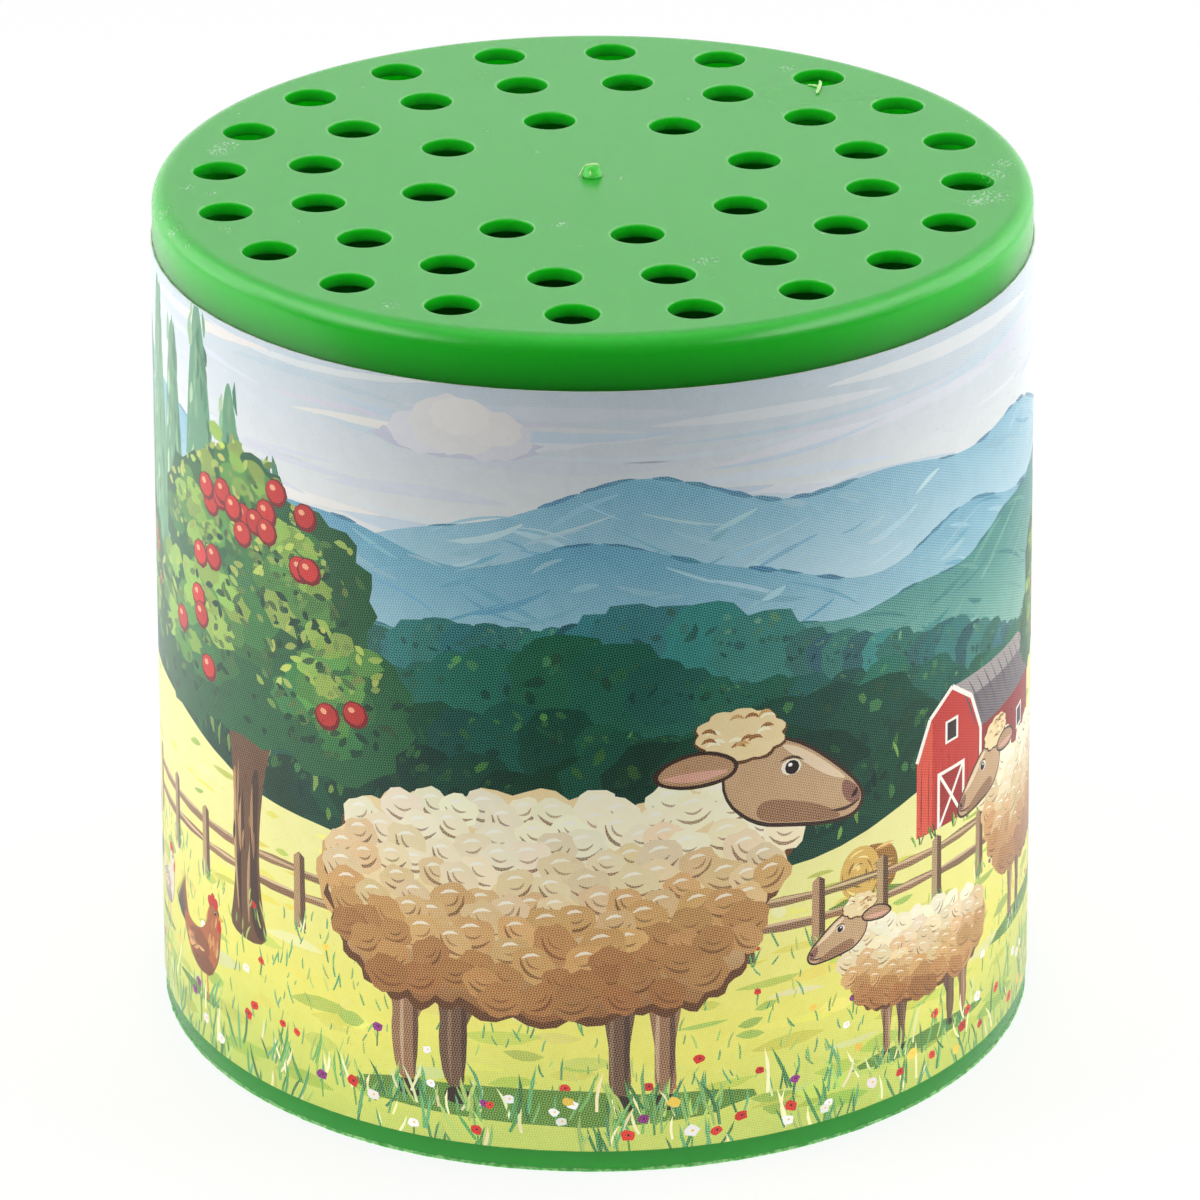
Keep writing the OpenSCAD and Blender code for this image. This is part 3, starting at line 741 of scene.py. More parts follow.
def paintEwe(x, y, s, way=1, slim=1.0, coat=wool):
    m = Motif(x, y, s, way)
    m.fill(blob(0, .1, 10.5, 1.0, 18, .12), (104, 146, 62))
    foreleg = ((-1.1, 7.4), (1.1, 7.4), (.55, 4.0), (.45, 3.2), (.6, .7), (-.55, .7), (-.5, 3.2), (-.6, 4.0))
    hindLeg = ((-1.5, 7.6), (1.7, 7.4), (.7, 4.6), (.1, 3.4), (.5, .7), (-.65, .7), (-1.0, 3.3), (-.8, 4.6))
    for u, dark in ((3.7, .55), (-4.2, .55), (5.9, 0), (-6.7, 0)):  # far legs first
        skin = between((158, 120, 88), (84, 62, 50), dark)
        m.soft([(u + a, b) for a, b in (foreleg if u > 0 else hindLeg)], skin)
        m.soft([(u - .6, .8), (u + .6, .8), (u + .8, -.1), (u - .7, -.1)], (58, 44, 38))
        m.line((u + .3, 6.4), (u + .25, .9), .3, between(skin, (64, 46, 38), .55), .03)
        m.line((u - .3, 6.2), (u - .32, 1.0), .22, between(skin, (238, 212, 176), .5 - dark / 2), -.03)
    mass = [(0, 11, 9.0, 5.7 * slim), (-6.0, 10.8, 4.8, 5.2 * slim), (6.0, 11, 4.5, 5.2 * slim),
            (8.7, 14.2, 3.3, 4.2)]
    m.fill(blob(-10.2, 10.4, 1.5, 2.3, 24, .05, .2, 8, .12), coat[2])
    for u, v, rx, ry in mass:  # brown edge under the wool
        m.fill(blob(u - .05, v - .3, rx + .22, ry + .16, 84, .012, 0, 22, .09), vary(coat[4], .04))
    for u, v, rx, ry in mass:
        m.fill(blob(u, v, rx, ry, 84, .012, 0, 22, .09),
               fade(between(coat[3], coat[4], .3), coat[1], y + s * 5, y + s * 11))
    paintWool(m, mass, coat, 1.15 if s > 1 else 1.7)
    h = Motif(x + way * s * 10.6, y + s * 17.2, s * 1.05, way)
    h.soft([(.3, 1.7), (-.7, 3.2), (.5, 3.3), (1.3, 1.9)], (138, 100, 72))
    h.soft([(-1.6, 1.6), (.6, 2.0), (2.3, 1.3), (4.2, -.3), (5.4, -1.6), (5.6, -2.5), (5.0, -3.2),
            (3.5, -3.2), (1.7, -2.9), (-.4, -2.5), (-2.0, -.8)], ink)
    h.soft([(-1.5, 1.45), (.6, 1.82), (2.2, 1.15), (4.05, -.42), (5.2, -1.65), (5.38, -2.4), (4.9, -3.0),
            (3.5, -3.0), (1.75, -2.7), (-.35, -2.3), (-1.85, -.75)], (204, 168, 126))
    h.soft([(-.3, -2.25), (1.75, -2.66), (3.5, -2.96), (4.4, -2.96), (3.2, -2.1), (1.6, -1.5), (0, -1.2)],
           (160, 120, 86))
    h.soft([(.8, 1.5), (2.2, 1.0), (4.0, -.55), (4.6, -1.2), (3.4, -.7), (2.0, .4)], (238, 214, 178))
    h.soft([(4.3, -1.0), (5.2, -1.7), (5.34, -2.4), (4.7, -2.5), (4.2, -1.8)], (150, 104, 88))
    h.line((5.1, -1.75), (4.75, -2.15), .26, (60, 40, 36), .2)
    h.line((5.25, -2.35), (3.6, -2.5), .18, (82, 56, 44), .22)
    h.fill(blob(1.55, .15, .52, .42, 10, .03), (246, 236, 214))
    h.fill(blob(1.6, .12, .36, .36, 10, .03), (40, 28, 24))
    h.fill(blob(1.5, .26, .12, .1, 6, .03), (255, 255, 250))
    h.line((1.0, .5), (2.2, .35), .16, (104, 74, 56), .35)
    h.fill(blob(-.9, 2.1, 2.1, 1.25, 40, .02, -.1, 10, .12), coat[4])
    h.fill(blob(-.9, 2.2, 2.0, 1.18, 40, .02, -.1, 10, .12), coat[1])
    for i in range(16):  # curls on the forehead
        u, v = -.9 + rng.uniform(-1.6, 1.6), 2.2 + rng.uniform(-.8, .8)
        h.line((u - .35, v), (u + .35, v + rng.uniform(-.15, .15)), .2,
               rng.choice((coat[0], coat[2], coat[3])), .5)
    h.soft([(-.9, 1.0), (-2.6, 1.75), (-4.6, 1.2), (-5.3, .2), (-3.6, -.35), (-1.3, .0)], ink)
    h.soft([(-1.1, .9), (-2.7, 1.55), (-4.4, 1.05), (-5.0, .25), (-3.6, -.15), (-1.5, .15)], (190, 150, 112))
    h.line((-1.6, .5), (-4.6, .35), .5, (226, 172, 150), .05)
    m.tufts((-7.4, -5.8, -3.6, 3.2, 5.4, 7.0), .6, 2.0, 6)


def paintHen(x, y, s, way=1, tone=(182, 100, 50)):
    m = Motif(x, y, s, way)
    m.fill(blob(0, .1, 4.2, .5, 12, .15), (112, 152, 62))
    for u in (.3, 1.5):
        m.line((u, 2.4), (u + .1, .1), .32, (214, 140, 50), .04, 4, .8, .6)
        m.line((u - .5, .05), (u + .9, .0), .26, (196, 122, 44), .08, 4)
    for i in range(7):
        m.line((-2.2, 5.2 + i * .12), (-5.6 + i * .42, 7.2 + i * .42), .62,
               vary(between((46, 56, 50), tone, i / 9), .1), .22)
    outline = [(-3.6, 6.2), (-2.6, 3.9), (-1.2, 2.6), (.4, 2.0), (2.2, 2.5), (3.4, 4.0), (3.8, 5.8),
               (3.95, 7.4), (3.9, 8.6), (3.3, 9.3), (2.5, 9.4), (1.9, 8.7), (1.6, 7.3), (.6, 6.1),
               (-1.2, 5.8), (-2.6, 6.5)]
    m.soft([(u * 1.04, v * 1.02 - .05) for u, v in outline], between(tone, ink, .7))
    m.soft(outline, tone)
    m.fill(blob(.6, 3.2, 2.2, 1.0, 12, .1), between(tone, ink, .4))
    m.fill(blob(-.2, 4.6, 2.3, 1.35, 14, .06, .15), between(tone, ink, .3))
    for i in range(12):  # wing
        u = rng.uniform(-1.6, 1.2)
        m.line((u, 4.5 + rng.uniform(-.8, .8)), (u - 1.2, 4.4 + rng.uniform(-.9, .6)), .3,
               vary(between(tone, (246, 214, 150), rng.uniform(.1, .8)), .08), .15)
    for i in range(12):  # neck
        u, v = rng.uniform(1.8, 3.5), rng.uniform(5.6, 8.6)
        m.line((u, v), (u - .3, v - 1.1), .3,
               vary(between(tone, (246, 206, 130), rng.uniform(.2, .9)), .06), .1)
    m.soft([(3.75, 8.95), (4.75, 8.5), (3.8, 8.25)], (234, 178, 62))
    comb = ((2.3, 9.6, .42, .55), (2.8, 9.95, .42, .55), (3.3, 9.65, .42, .55), (3.85, 7.7, .36, .62))
    for u, v, rx, ry in comb:  # the last hangs below the beak
        m.fill(blob(u, v, rx, ry, 8, .05), (206, 36, 34))
    m.fill(blob(3.15, 8.75, .24, .24, 8, .02), (34, 24, 22))
    m.fill(blob(3.1, 8.82, .08, .08, 5, .02), (255, 255, 250))
    m.tufts((-.6, .8, 2.2), .4, 1.6, 4)


def paintBarn(x, y, s, way=1):
    trim = (250, 246, 234)
    m = Motif(x, y, s, way)
    m.fill([(4, 10.7), (15.4, 10.5), (17.8, 8.9), (19.6, 5.9), (8, 5.7), (6.6, 8.9)], (120, 112, 116))
    m.fill([(4, 10.7), (15.4, 10.5), (17.8, 8.9), (6.6, 9.0)], (168, 160, 158))
    m.fill([(8, 0), (19, .7), (19, 6.1), (8, 6)], (156, 40, 36))
    m.fill([(0, 0), (8, 0), (8, 6), (6.6, 9), (4, 10.7), (1.4, 9), (0, 6)], (204, 54, 42))
    m.fill([(0, 0), (1.7, 0), (1.7, 8.6), (1.4, 9), (0, 6)], (226, 84, 60))
    for i in range(10):  # boards and tiles
        u = .5 + i * .8
        m.line((u, .1), (u, 5.9), .14, vary((168, 38, 34), .1), .0, 4)
        m.line((8.8 + i * 1.05, .3), (8.8 + i * 1.05, 5.9), .16, vary((124, 28, 30), .12), .0, 4)
        m.line((5.0 + i * 1.15, 10.4), (7.4 + i * 1.15, 6.2), .16, vary((98, 92, 98), .1), .06, 5)
    eaves = ((0, 6), (1.4, 9), (4, 10.7), (6.6, 9), (8, 6), (8, 0))
    for p, q in zip(eaves, eaves[1:]):
        m.line(p, q, .42, trim, .0, 4, .9, .9)
    m.fill([(2.3, 0), (5.7, 0), (5.7, 4.4), (2.3, 4.4)], trim)
    m.fill([(2.6, 0), (5.4, 0), (5.4, 4.1), (2.6, 4.1)], (170, 42, 38))
    m.line((2.6, .1), (5.4, 4.1), .3, trim, 0, 4, .9, .9)
    m.line((5.4, .1), (2.6, 4.1), .3, trim, 0, 4, .9, .9)
    m.fill([(3.2, 6.4), (4.8, 6.4), (4.8, 8.2), (3.2, 8.2)], trim)
    m.fill([(3.45, 6.6), (4.55, 6.6), (4.55, 8.0), (3.45, 8.0)], (62, 50, 52))
    for u in (11.2, 15.2):
        m.fill([(u, 2.6), (u + 1.5, 2.7), (u + 1.5, 4.5), (u, 4.4)], trim)
        m.fill([(u + .22, 2.85), (u + 1.28, 2.92), (u + 1.28, 4.28), (u + .22, 4.2)], (66, 62, 72))
    m.tufts(range(0, 20, 2), .5, 1.5, 4, ((40, 96, 56), (86, 138, 60), (150, 184, 74)))


def paintBale(x, y, s):
    m = Motif(x, y, s)
    m.fill(blob(.9, 0, 4.2, .6, 14, .1), (120, 152, 62))
    m.soft([(0, 0), (3.4, .25), (4.3, 1.2), (4.6, 2.6), (4.2, 4.1), (3.2, 5.0), (0, 5.4)], (166, 118, 52))
    m.fill(blob(0, 2.7, 2.3, 2.75, 20, .03), (226, 184, 92))
    for i in range(18):
        a, r = rng.uniform(0, math.tau), rng.uniform(.3, 2.1)
        ends = [(r * math.cos(b), 2.7 + r * 1.15 * math.sin(b)) for b in (a, a + .9)]
        m.line(*ends, .2, varyOne(.08, (176, 126, 56), (246, 216, 140), (140, 98, 48)), -.2)
    for i in range(16):
        v = rng.uniform(.6, 4.8)
        m.line((1.2 + rng.uniform(0, 1), v), (3.4 + rng.uniform(0, .8), v + .1), .2,
               varyOne(.08, (204, 158, 76), (128, 90, 44), (236, 200, 118)), .1)
    m.tufts((-1, 2.4), .3, 1.3, 5)


def paintFence(x0, x1, y, tall):
    gap = 5.2
    for lift in (.42, .78):
        x = x0
        while x < x1 - 1:
            post = min(x + gap, x1)
            low, high = y + tall * lift, y + tall * (lift + .04)
            dash((x - .3, low), (post + .3, low + rng.uniform(-.25, .25)), .012, 5, tall * .15,
                 vary((150, 116, 82), .08), .8, .7)
            dash((x, high), (post, high), .012, 5, tall * .05, vary((216, 186, 144), .05), .5, .5)
            x = post
    x = x0
    while x <= x1:
        w, h = tall * .11, tall * rng.uniform(.98, 1.12)
        foot, shoulder = y - .3, (x - w * .9, y + h * .93)
        paint([(x - w, foot), (x + w, foot), (x + w * .9, y + h * .94), (x, y + h), shoulder], (108, 80, 58))
        paint([(x - w, foot), (x + w * .1, foot), (x + w * .1, y + h), shoulder], vary((182, 148, 108), .06))
        grassTuft(x, y - .6, tall * .32, 5, grassTones)
        x += gap


def paintPond(x, y, wide):
    paint(blob(x, y, wide, wide * .2, 40, .03), (96, 136, 82))
    paint(blob(x, y - .1, wide * .95, wide * .175, 40, .03), (146, 190, 208))
    for i in range(46):
        u, v = rng.uniform(-.8, .8), rng.uniform(-.13, .13)
        if abs(u) + abs(v) * 4 < .95:
            left, level = x + wide * u, y + wide * v
            dash((left, level), (left + rng.uniform(1, 3), level), .03, 4, .28,
                 varyOne(.04, (196, 220, 228), (112, 164, 190), (226, 238, 238), (92, 144, 150)), .1, .1)
    for u, v, way in ((-.4, .02, 1), (.12, -.04, -1), (.45, .05, -1)):  # ducks
        m = Motif(x + wide * u, y + wide * v, .62, way)
        m.soft([(-3.2, 1.6), (-2.4, .2), (0, -.3), (2.0, .1), (2.6, 1.4), (2.5, 3.0), (3.1, 4.2), (2.5, 5.2),
                (1.5, 5.1), (1.1, 4.2), (1.3, 2.8), (.2, 2.4), (-1.8, 2.4), (-3.4, 3.0)], (252, 249, 240))
        m.soft([(-2.4, .3), (0, -.25), (2.0, .15), (1.2, .9), (-1.2, 1.0)], (196, 204, 210))
        m.soft([(3.0, 4.5), (4.2, 4.1), (3.0, 3.8)], (238, 166, 52))
        m.fill(blob(2.35, 4.5, .2, .2, 6, .02), (30, 26, 26))
        m.line((-1.8, 1.9), (.9, 1.6), .3, (206, 204, 198), -.2)
    for u in [i / 9 - 1 for i in range(19)]:
        grassTuft(x + wide * u, y - wide * .2 * math.sqrt(max(0, 1 - u * u)) - .7, 1.9, 6, grassTones)


def paintFlowers(low, high, many):
    petals = ((214, 44, 38), (250, 248, 244), (150, 52, 138), (250, 248, 244), (226, 60, 44), (250, 214, 84))
    for i in range(many):
        x, y = anywhere(), low + (high - low) * rng.random() ** 1.4
        size = .50 - y * .018 + rng.uniform(-.08, .1)
        tone = rng.choice(petals)
        if i % 3 == 0:  # one in three has a stalk
            dash((x + rng.uniform(-.3, .3), y - size * 3.2), (x, y), rng.uniform(-.15, .15), 4, .16,
                 vary((104, 158, 78), .12), .7, .5)
        paint(blob(x, y, size * .8, size * .66, 9, .16, rng.uniform(-.5, .5), 5, .2), vary(tone, .05))
        core = (250, 206, 70) if tone[1] > 200 else (70, 30, 40)
        paint(blob(x + .04, y + .03, size * .22, size * .18, 5, .1), core)


poplars = ((-43.5, 33, 2.2), (-36.2, 35, 2.5), (-31.6, 38, 2.7), (-40, 37, 2.7), (-27.6, 33.5, 2.3),
           (-23.6, 29, 2.0), (80, 30, 2.3), (84.2, 34, 2.5), (88.2, 31, 2.3))  # place, height and half width


def paintScene():
    paint(fillUp(-1), (246, 244, 236))
    paintSky()
    paintHills()
    behind = len(shapes)
    paintTreeLine()
    paintMeadow()
    paintBarn(23.5, 18.4, .92, 1)
    paintBarn(-72, 18.6, .8, 1)
    for x, y, s in ((18.5, 15.6, .72), (57, 16.6, .7), (-50, 16.0, .7), (90, 15, .8)):
        paintBale(x, y, s)
    paintTree(46.5, 16.4, .80, 9, -1)
    paintTree(-46.5, 16.8, .84, 9)
    paintTree(70, 15.5, .95, 12)
    paintTree(-87, 14.5, 1.0, 12)
    paintFence(-42, 41, 13.2, 4.8)
    paintFence(52, 92, 13.0, 4.4)
    paintFence(-92, -60, 12.8, 4.4)
    paintTree(-26.5, 10.6, 1.42, 22)
    paintPond(76, 7.5, 13)
    paintEwe(-61, 6.2, .68, 1)
    paintEwe(-49, 8.0, .48, -1, .86)
    paintHen(-88, 4.0, .66, 1)
    paintHen(-79, 5.0, .54, -1, (236, 226, 206))
    for i in range(printSet["grass"] * 2 // 3):
        grassTuft(anywhere(), rng.uniform(3.5, 14), rng.uniform(.7, 1.6), 1, grassTones[1:4])
    paintFlowers(4.5, 14, printSet["flowers"] // 2)
    paintEwe(41, 7.0, .80, -1)
    paintEwe(-3.5, 3.0, 1.36, 1)
    paintEwe(24.5, 3.2, .62, -1, .84)
    paintHen(-33, 3.4, .80, 1)
    paintHen(-40.5, 5.6, .62, 1, (238, 228, 208))
    for i in range(printSet["grass"] // 3):
        grassTuft(anywhere(), rng.uniform(-1.2, 3.4), rng.uniform(1.4, 3.4), 2, grassTones)
    paintFlowers(.6, 4.2, printSet["flowers"] // 2)
    nearer = shapes[behind:]
    del shapes[behind:]
    for x, tall, wide in poplars:
        paintPoplar(x, 17, tall, wide)
    shapes.extend(nearer)  # the poplars stand behind the other trees


def within(outline, spots):  # which spots lie inside an outline
    x, y = spots.T
    odd = np.zeros(len(spots), bool)
    for (x0, y0), (x1, y1) in zip(outline, outline[1:] + outline[:1]):
        if y0 != y1:
            odd ^= ((y0 > y) != (y1 > y)) & (x < x0 + (x1 - x0) * (y - y0) / (y1 - y0))
    return odd


def seenEdges(tris, shapeOf):  # links between the points where one shape meets another
    sides = {}
    for tri, shape in zip(tris.tolist(), shapeOf.tolist()):
        for p, q in ((tri[0], tri[1]), (tri[1], tri[2]), (tri[2], tri[0])):
            sides.setdefault((min(p, q), max(p, q)), []).append(shape)
    links = {}
    for (p, q), pair in sides.items():
        if max(pair) >= 0 and (len(pair) == 1 or pair[0] != pair[1]):
            links.setdefault(p, set()).add(q)
            links.setdefault(q, set()).add(p)
    return links


def straighten(links, place):  # points on a nearly straight run go
    for v in list(links):
        if len(links[v]) == 2:
            p, q = links[v]
            (x0, y0), (x1, y1), (x2, y2) = place[p], place[v], place[q]
            run = math.hypot(x2 - x0, y2 - y0)
            bend = abs((x2 - x0) * (y1 - y0) - (x1 - x0) * (y2 - y0))
            if q not in links[p] and bend <= printSet["slack"] * run and abs(x2 - x0) < printSet["grid"]:
                for end, other in ((p, q), (q, p)):
                    links[end].remove(v)
                    links[end].add(other)
                del links[v]


def cutSheet():  # every outline cut in, the last painted on top; then only the seen edges are kept
    half = sheetHalf - canSizes["labelSeam"] / 2
    points, faces = [], []
    filmEdge = [(-half, 0), (half, 0), (half, sheetHigh), (-half, sheetHigh)]
    for outline in [filmEdge] + [s[0] for s in shapes]:
        faces.append(list(range(len(points), len(points) + len(outline))))
        points += outline
    cut = delaunay_2d_cdt([Vector(p) for p in points], [], faces, 0, printSet["snap"], True)
    place, tris = np.array([tuple(v) for v in cut[0]]), np.array(cut[2])
    centre = place[tris].mean(1)
    claims = [[] for face in faces]
    for i, owners in enumerate(cut[5]):
        for owner in owners:
            claims[owner].append(i)
    shapeOf = np.full(len(tris), -1)
    for owner, face in enumerate(faces):  # as far as each outline really goes
        mine = np.array(claims[owner], int)
        shapeOf[mine[within([points[i] for i in face], centre[mine])]] = owner
    shapeOf[~within(filmEdge, centre)] = -1
    links = seenEdges(tris, shapeOf)
    straighten(links, place)
    spot = {v: i for i, v in enumerate(links)}
    edges = [(spot[v], spot[q]) for v in links for q in links[v] if v < q]
    kept = [Vector(place[v]) for v in links]
    across, up = round(2 * half / printSet["grid"]), round(sheetHigh / printSet["grid"])
    for i in range(across + 1):
        for j in range(up + 1):
            kept.append(Vector((-half + 2 * half * i / across, sheetHigh * j / up)))
    seen = delaunay_2d_cdt(kept, edges, [], 0, printSet["snap"], False)
    finder = BVHTree.FromPolygons([(x, y, 0) for x, y in place], tris.tolist())
    flat, small = np.array([tuple(v) for v in seen[0]]), np.array(seen[2])
    middle = flat[small].mean(1)
    owned = np.array([max(1, shapeOf[finder.find_nearest((x, y, 0))[2]]) for x, y in middle.tolist()])
    print("film:", len(shapes), "shapes,", len(tris), "cuts,", len(small), "triangles")
    return flat, small, owned


filmSet = {
    "screen": 0.25, "turns": (0.42, 0.94), "paper": (244, 243, 238),
    "inks": (("Red", 1.6, 0.8), ("Green", 1.3, 1.1), ("Blue", 0.8, 1.1)),  # how far each follows each screen
    "pool": {"Scale": 0.55, "Detail": 5.0, "Roughness": 0.62, "Distortion": 0.8},
    "dry": {"Scale": 2.6, "Detail": 3.0, "Roughness": 0.7},
}


def paintFilm(w):
    picture = w.node("ShaderNodeAttribute", {"attribute_name": "print"}, out="Color")
    sheet = w.node("ShaderNodeAttribute", {"attribute_name": "sheet"}, out="Vector")
    pool = w.node("ShaderNodeTexNoise", {}, {"Vector": sheet, **filmSet["pool"]})
    dry = w.node("ShaderNodeTexNoise", {}, {"Vector": sheet, **filmSet["dry"]})
    part = w.split(sheet)
    pen = w.node("ShaderNodeSeparateColor", {}, {0: picture})
    wash = (pool - 0.5) * 0.46 + (dry - 0.5) * 0.26
    pitch = math.tau / filmSet["screen"]
    dots = []
    for turn in filmSet["turns"]:  # two screens at an angle to each other
        u = (part.get("X") * math.cos(turn) + part.get("Y") * math.sin(turn)) * pitch
        v = (part.get("Y") * math.cos(turn) - part.get("X") * math.sin(turn)) * pitch
        dots.append(u.sin() * v.sin())
    inks = {}
    for i, (name, first, second) in enumerate(filmSet["inks"]):
        tone = pen.get(name) * (1 + wash * (1.1 - pen.get(name)))
        bare = (1 - tone).most(0.0)
        dotted = tone * bare * bare * (bare * 0.7 + 0.3) * (dots[0] * first + dots[1] * second)
        inks[i] = (tone + dotted).most(0.0)
    return {"Base Color": w.node("ShaderNodeCombineColor", {}, inks), "Roughness": 0.24 + dry * 0.10,
            "Normal": bump(w, pool * 0.6 + dry * 0.4, 0.05, 0.2)}


printedFilm = newFinish("printedFilm", {"IOR": 1.48}, paintFilm)


def onCan(flat, inset):  # flat sheet places to places on the can
    angle = flat[:, 0] / printSet["refR"] - math.pi / 2
    z = canSizes["labelBase"] + flat[:, 1]
    r = canR(z) + canSizes["labelGlue"] + canSizes["labelT"] - inset
    return np.column_stack([r * np.cos(angle), r * np.sin(angle), z]) * mm


def shadeFilm(mesh, flat, front, corner):  # the front as smooth as the can, the edge and the back as they are
    angle = flat[corner, 0] / printSet["refR"] - math.pi / 2
    lean = (canSizes["baseD"] - canSizes["topD"]) / 2 / canSizes["height"]
    normals = np.column_stack([np.cos(angle), np.sin(angle), np.full(len(angle), lean)])
    normals[front:] = 0
    mesh.polygons.foreach_set("use_smooth", [True] * len(mesh.polygons))
    mesh.normals_split_custom_set(normals.tolist())


def makeFilm():
    paintScene()
    place, tris, shapeOf = cutSheet()
    used, tris = np.unique(tris, return_inverse=True)
    place, tris = place[used], tris.reshape(-1, 3)
    sides = np.concatenate([tris[:, (0, 1)], tris[:, (1, 2)], tris[:, (2, 0)]])
    seen = {tuple(e) for e in sides.tolist()}
    rim = [e for e in seen if (e[1], e[0]) not in seen]
    follow = dict(rim)
    loop = [rim[0][0]]
    while follow[loop[-1]] != loop[0]:
        loop.append(follow[loop[-1]])
    across, up = printSet["backGrid"]
    half = place[:, 0].max()
    spread = [(-half + 2 * half * i / across, sheetHigh * j / up)
              for i in range(1, across) for j in range(1, up)]
    rest = np.concatenate([place[loop], spread])
    back = delaunay_2d_cdt([Vector(p) for p in rest], [], [list(range(len(loop)))], 1, 1e-6, True)
    count = len(place)
    inner = {v: count + i for i, v in enumerate(loop)}
    faces = tris.tolist()
    faces += [[b, a, inner[a], inner[b]] for a, b in rim]
    spot = [o[0] for o in back[3]]
    faces += [[count + spot[i] for i in reversed(f)] for f in back[2]]
    mesh = bpy.data.meshes.new("printedFilm")
    mesh.from_pydata(np.concatenate([onCan(place, 0), onCan(rest, canSizes["labelT"])]).tolist(), [], faces)
    flat = np.concatenate([place, rest])
    sheet = mesh.attributes.new("sheet", "FLOAT_VECTOR", "POINT")
    sheet.data.foreach_set("vector", np.column_stack([flat, np.zeros(len(flat))]).astype(np.float32).ravel())
    corner = np.zeros(len(mesh.loops), np.int32)
    mesh.loops.foreach_get("vertex_index", corner)
    colours = np.tile(np.array(rgb(*filmSet["paper"]), np.float32), (len(corner), 1))
    for i, owner in enumerate(shapeOf):
        colour = shapes[owner - 1][1]
        for k in range(3):
            colours[3 * i + k] = rgb(*(colour(*place[tris[i, k]]) if callable(colour) else colour))
    mesh.attributes.new("print", "FLOAT_COLOR", "CORNER").data.foreach_set("color", colours.ravel())
    front = 3 * len(tris)
    wrap = mesh.uv_layers.new(name="OFBake")
    high = flat[corner, 1] / sheetHigh
    atBack = 0.01 + 0.03 * high + 0.01 * (corner < count)  # edge and back share a strip under the front
    v = np.where(np.arange(len(corner)) < front, 0.07 + 0.92 * high, atBack)
    u = 0.005 + 0.99 * (flat[corner, 0] + sheetHalf) / (2 * sheetHalf)
    wrap.data.foreach_set("uv", np.column_stack([u, v]).astype(np.float32).ravel())
    shadeFilm(mesh, flat, front, corner)
    mesh.materials.append(printedFilm)
    settle(addObject("printedFilm", mesh), "case", "printed_film", "printed_label")


makeFilm()

# small moulding marks: gate, flash at the standing rim and a thread of flash at one hole
markSet = {
    "gateWide": 0.72, "gateHigh": 0.72, "gateSeed": 4, "gateAround": 20, "hairAround": 8, "levels": 2,
    "gate": ((-.06, 1.02, 1.0), (.10, .98, .95), (.28, .88, .82), (.46, .78, .62), (.60, .72, .38),
             (.70, .66, .16)),  # lift, and shares of the width and depth
    "flash": 0.09, "segments": 300, "ripple": (0.16, 30.0),
    "ridge": (((-.56, .06, 59.50, .08), (-.46, .12, 59.67, .13), (-.20, .14, 59.69, .11),
               (.06, .13, 59.73, .13), (.32, .12, 59.75, .13), (.44, .04, 59.62, .10)),
              ((-.46, .12, 59.67, .10), (-.66, .00, 59.44, .07), (-.82, -.14, 59.16, .06),
               (-.90, -.22, 59.04, .05)),
              ((-.16, -.42, 59.52, .06), (-.16, -.57, 59.38, .09), (-.15, -.67, 59.22, .06))),
    "thread": (((15.76, 18.95, 58.90, .07), (15.82, 18.30, 59.08, .11), (15.80, 17.60, 59.14, .14),
                (15.64, 16.70, 59.13, .15), (15.46, 15.80, 59.08, .12)),
               ((15.72, 17.20, 59.10, .09), (15.30, 17.60, 59.07, .10), (14.86, 17.74, 59.04, .05))),
}  # ridge and thread are paths in mm, each point with its thickness


def addMark(name, points, faces, finish):  # a softened piece of the case, points in mm
    mesh = bpy.data.meshes.new(name)
    mesh.from_pydata([tuple(c * mm for c in p) for p in points], [], faces)
    mesh.polygons.foreach_set("use_smooth", [True] * len(faces))
    mesh.materials.append(finish)
    piece = settle(addObject(name, mesh), "case", "green_shell")
    pointOutward(piece)
    soft = piece.modifiers.new("soften", "SUBSURF")
    soft.levels = soft.render_levels = markSet["levels"]


def tubeFaces(rings):  # sides between rings of points, and an end at each side
    faces = []
    for near, far in zip(rings, rings[1:]):
        for i in range(len(near)):
            k = (i + 1) % len(near)
            faces.append((near[i], near[k], far[k], far[i]))
    return faces + [tuple(reversed(rings[0])), tuple(rings[-1])]


def makeGate():  # torn stub; the thin ridge across it is laid on as hairs
    dice = random.Random(markSet["gateSeed"])
    around = markSet["gateAround"]
    points = []
    for lift, wide, deep in markSet["gate"]:
        for i in range(around):
            a = math.tau * i / around
            tear = dice.uniform(-.05, .05) * (1 + 2 * lift)
            points.append((-.03 + markSet["gateWide"] * wide * math.cos(a) * (1 + tear),
                           -.02 + markSet["gateWide"] * deep * math.sin(a) * (1 + tear) + .18 * lift,
                           canSizes["height"] + lift / .7 * markSet["gateHigh"]
                           + dice.uniform(-.03, .03) * (lift > .4)))
    rings = [[j * around + i for i in range(around)] for j in range(len(markSet["gate"]))]
    addMark("gateStub", points, tubeFaces(rings), tornGreen)


def makeHairs(name, paths):  # thin threads of stretched plastic
    points, faces = [], []
    around = markSet["hairAround"]
    for path in paths:
        first, last = len(points), len(path) - 1
        for j, (x, y, z, r) in enumerate(path):
            ahead = Vector(path[min(j + 1, last)][:3]) - Vector(path[max(j - 1, 0)][:3])
            side = ahead.cross(Vector((0, 0, 1))).normalized()
            over = side.cross(ahead).normalized()
            for a in (math.tau * i / around for i in range(around)):
                points.append(Vector((x, y, z)) + (side * math.cos(a) + over * math.sin(a)) * r)
        faces += tubeFaces([[first + j * around + i for i in range(around)] for j in range(last + 1)])
    addMark(name, points, faces, hairGreen)


def makeRimFlash():
    r, t = canR(0), markSet["flash"]
    profile = [(r - .22, .02), (r - .02, .0), (r + t * .55, .04), (r + t * .5, .12), (r - .02, .30)]
    settle(turnPiece("rimFlash", profile, markSet, rimGreen), "case", "green_shell")


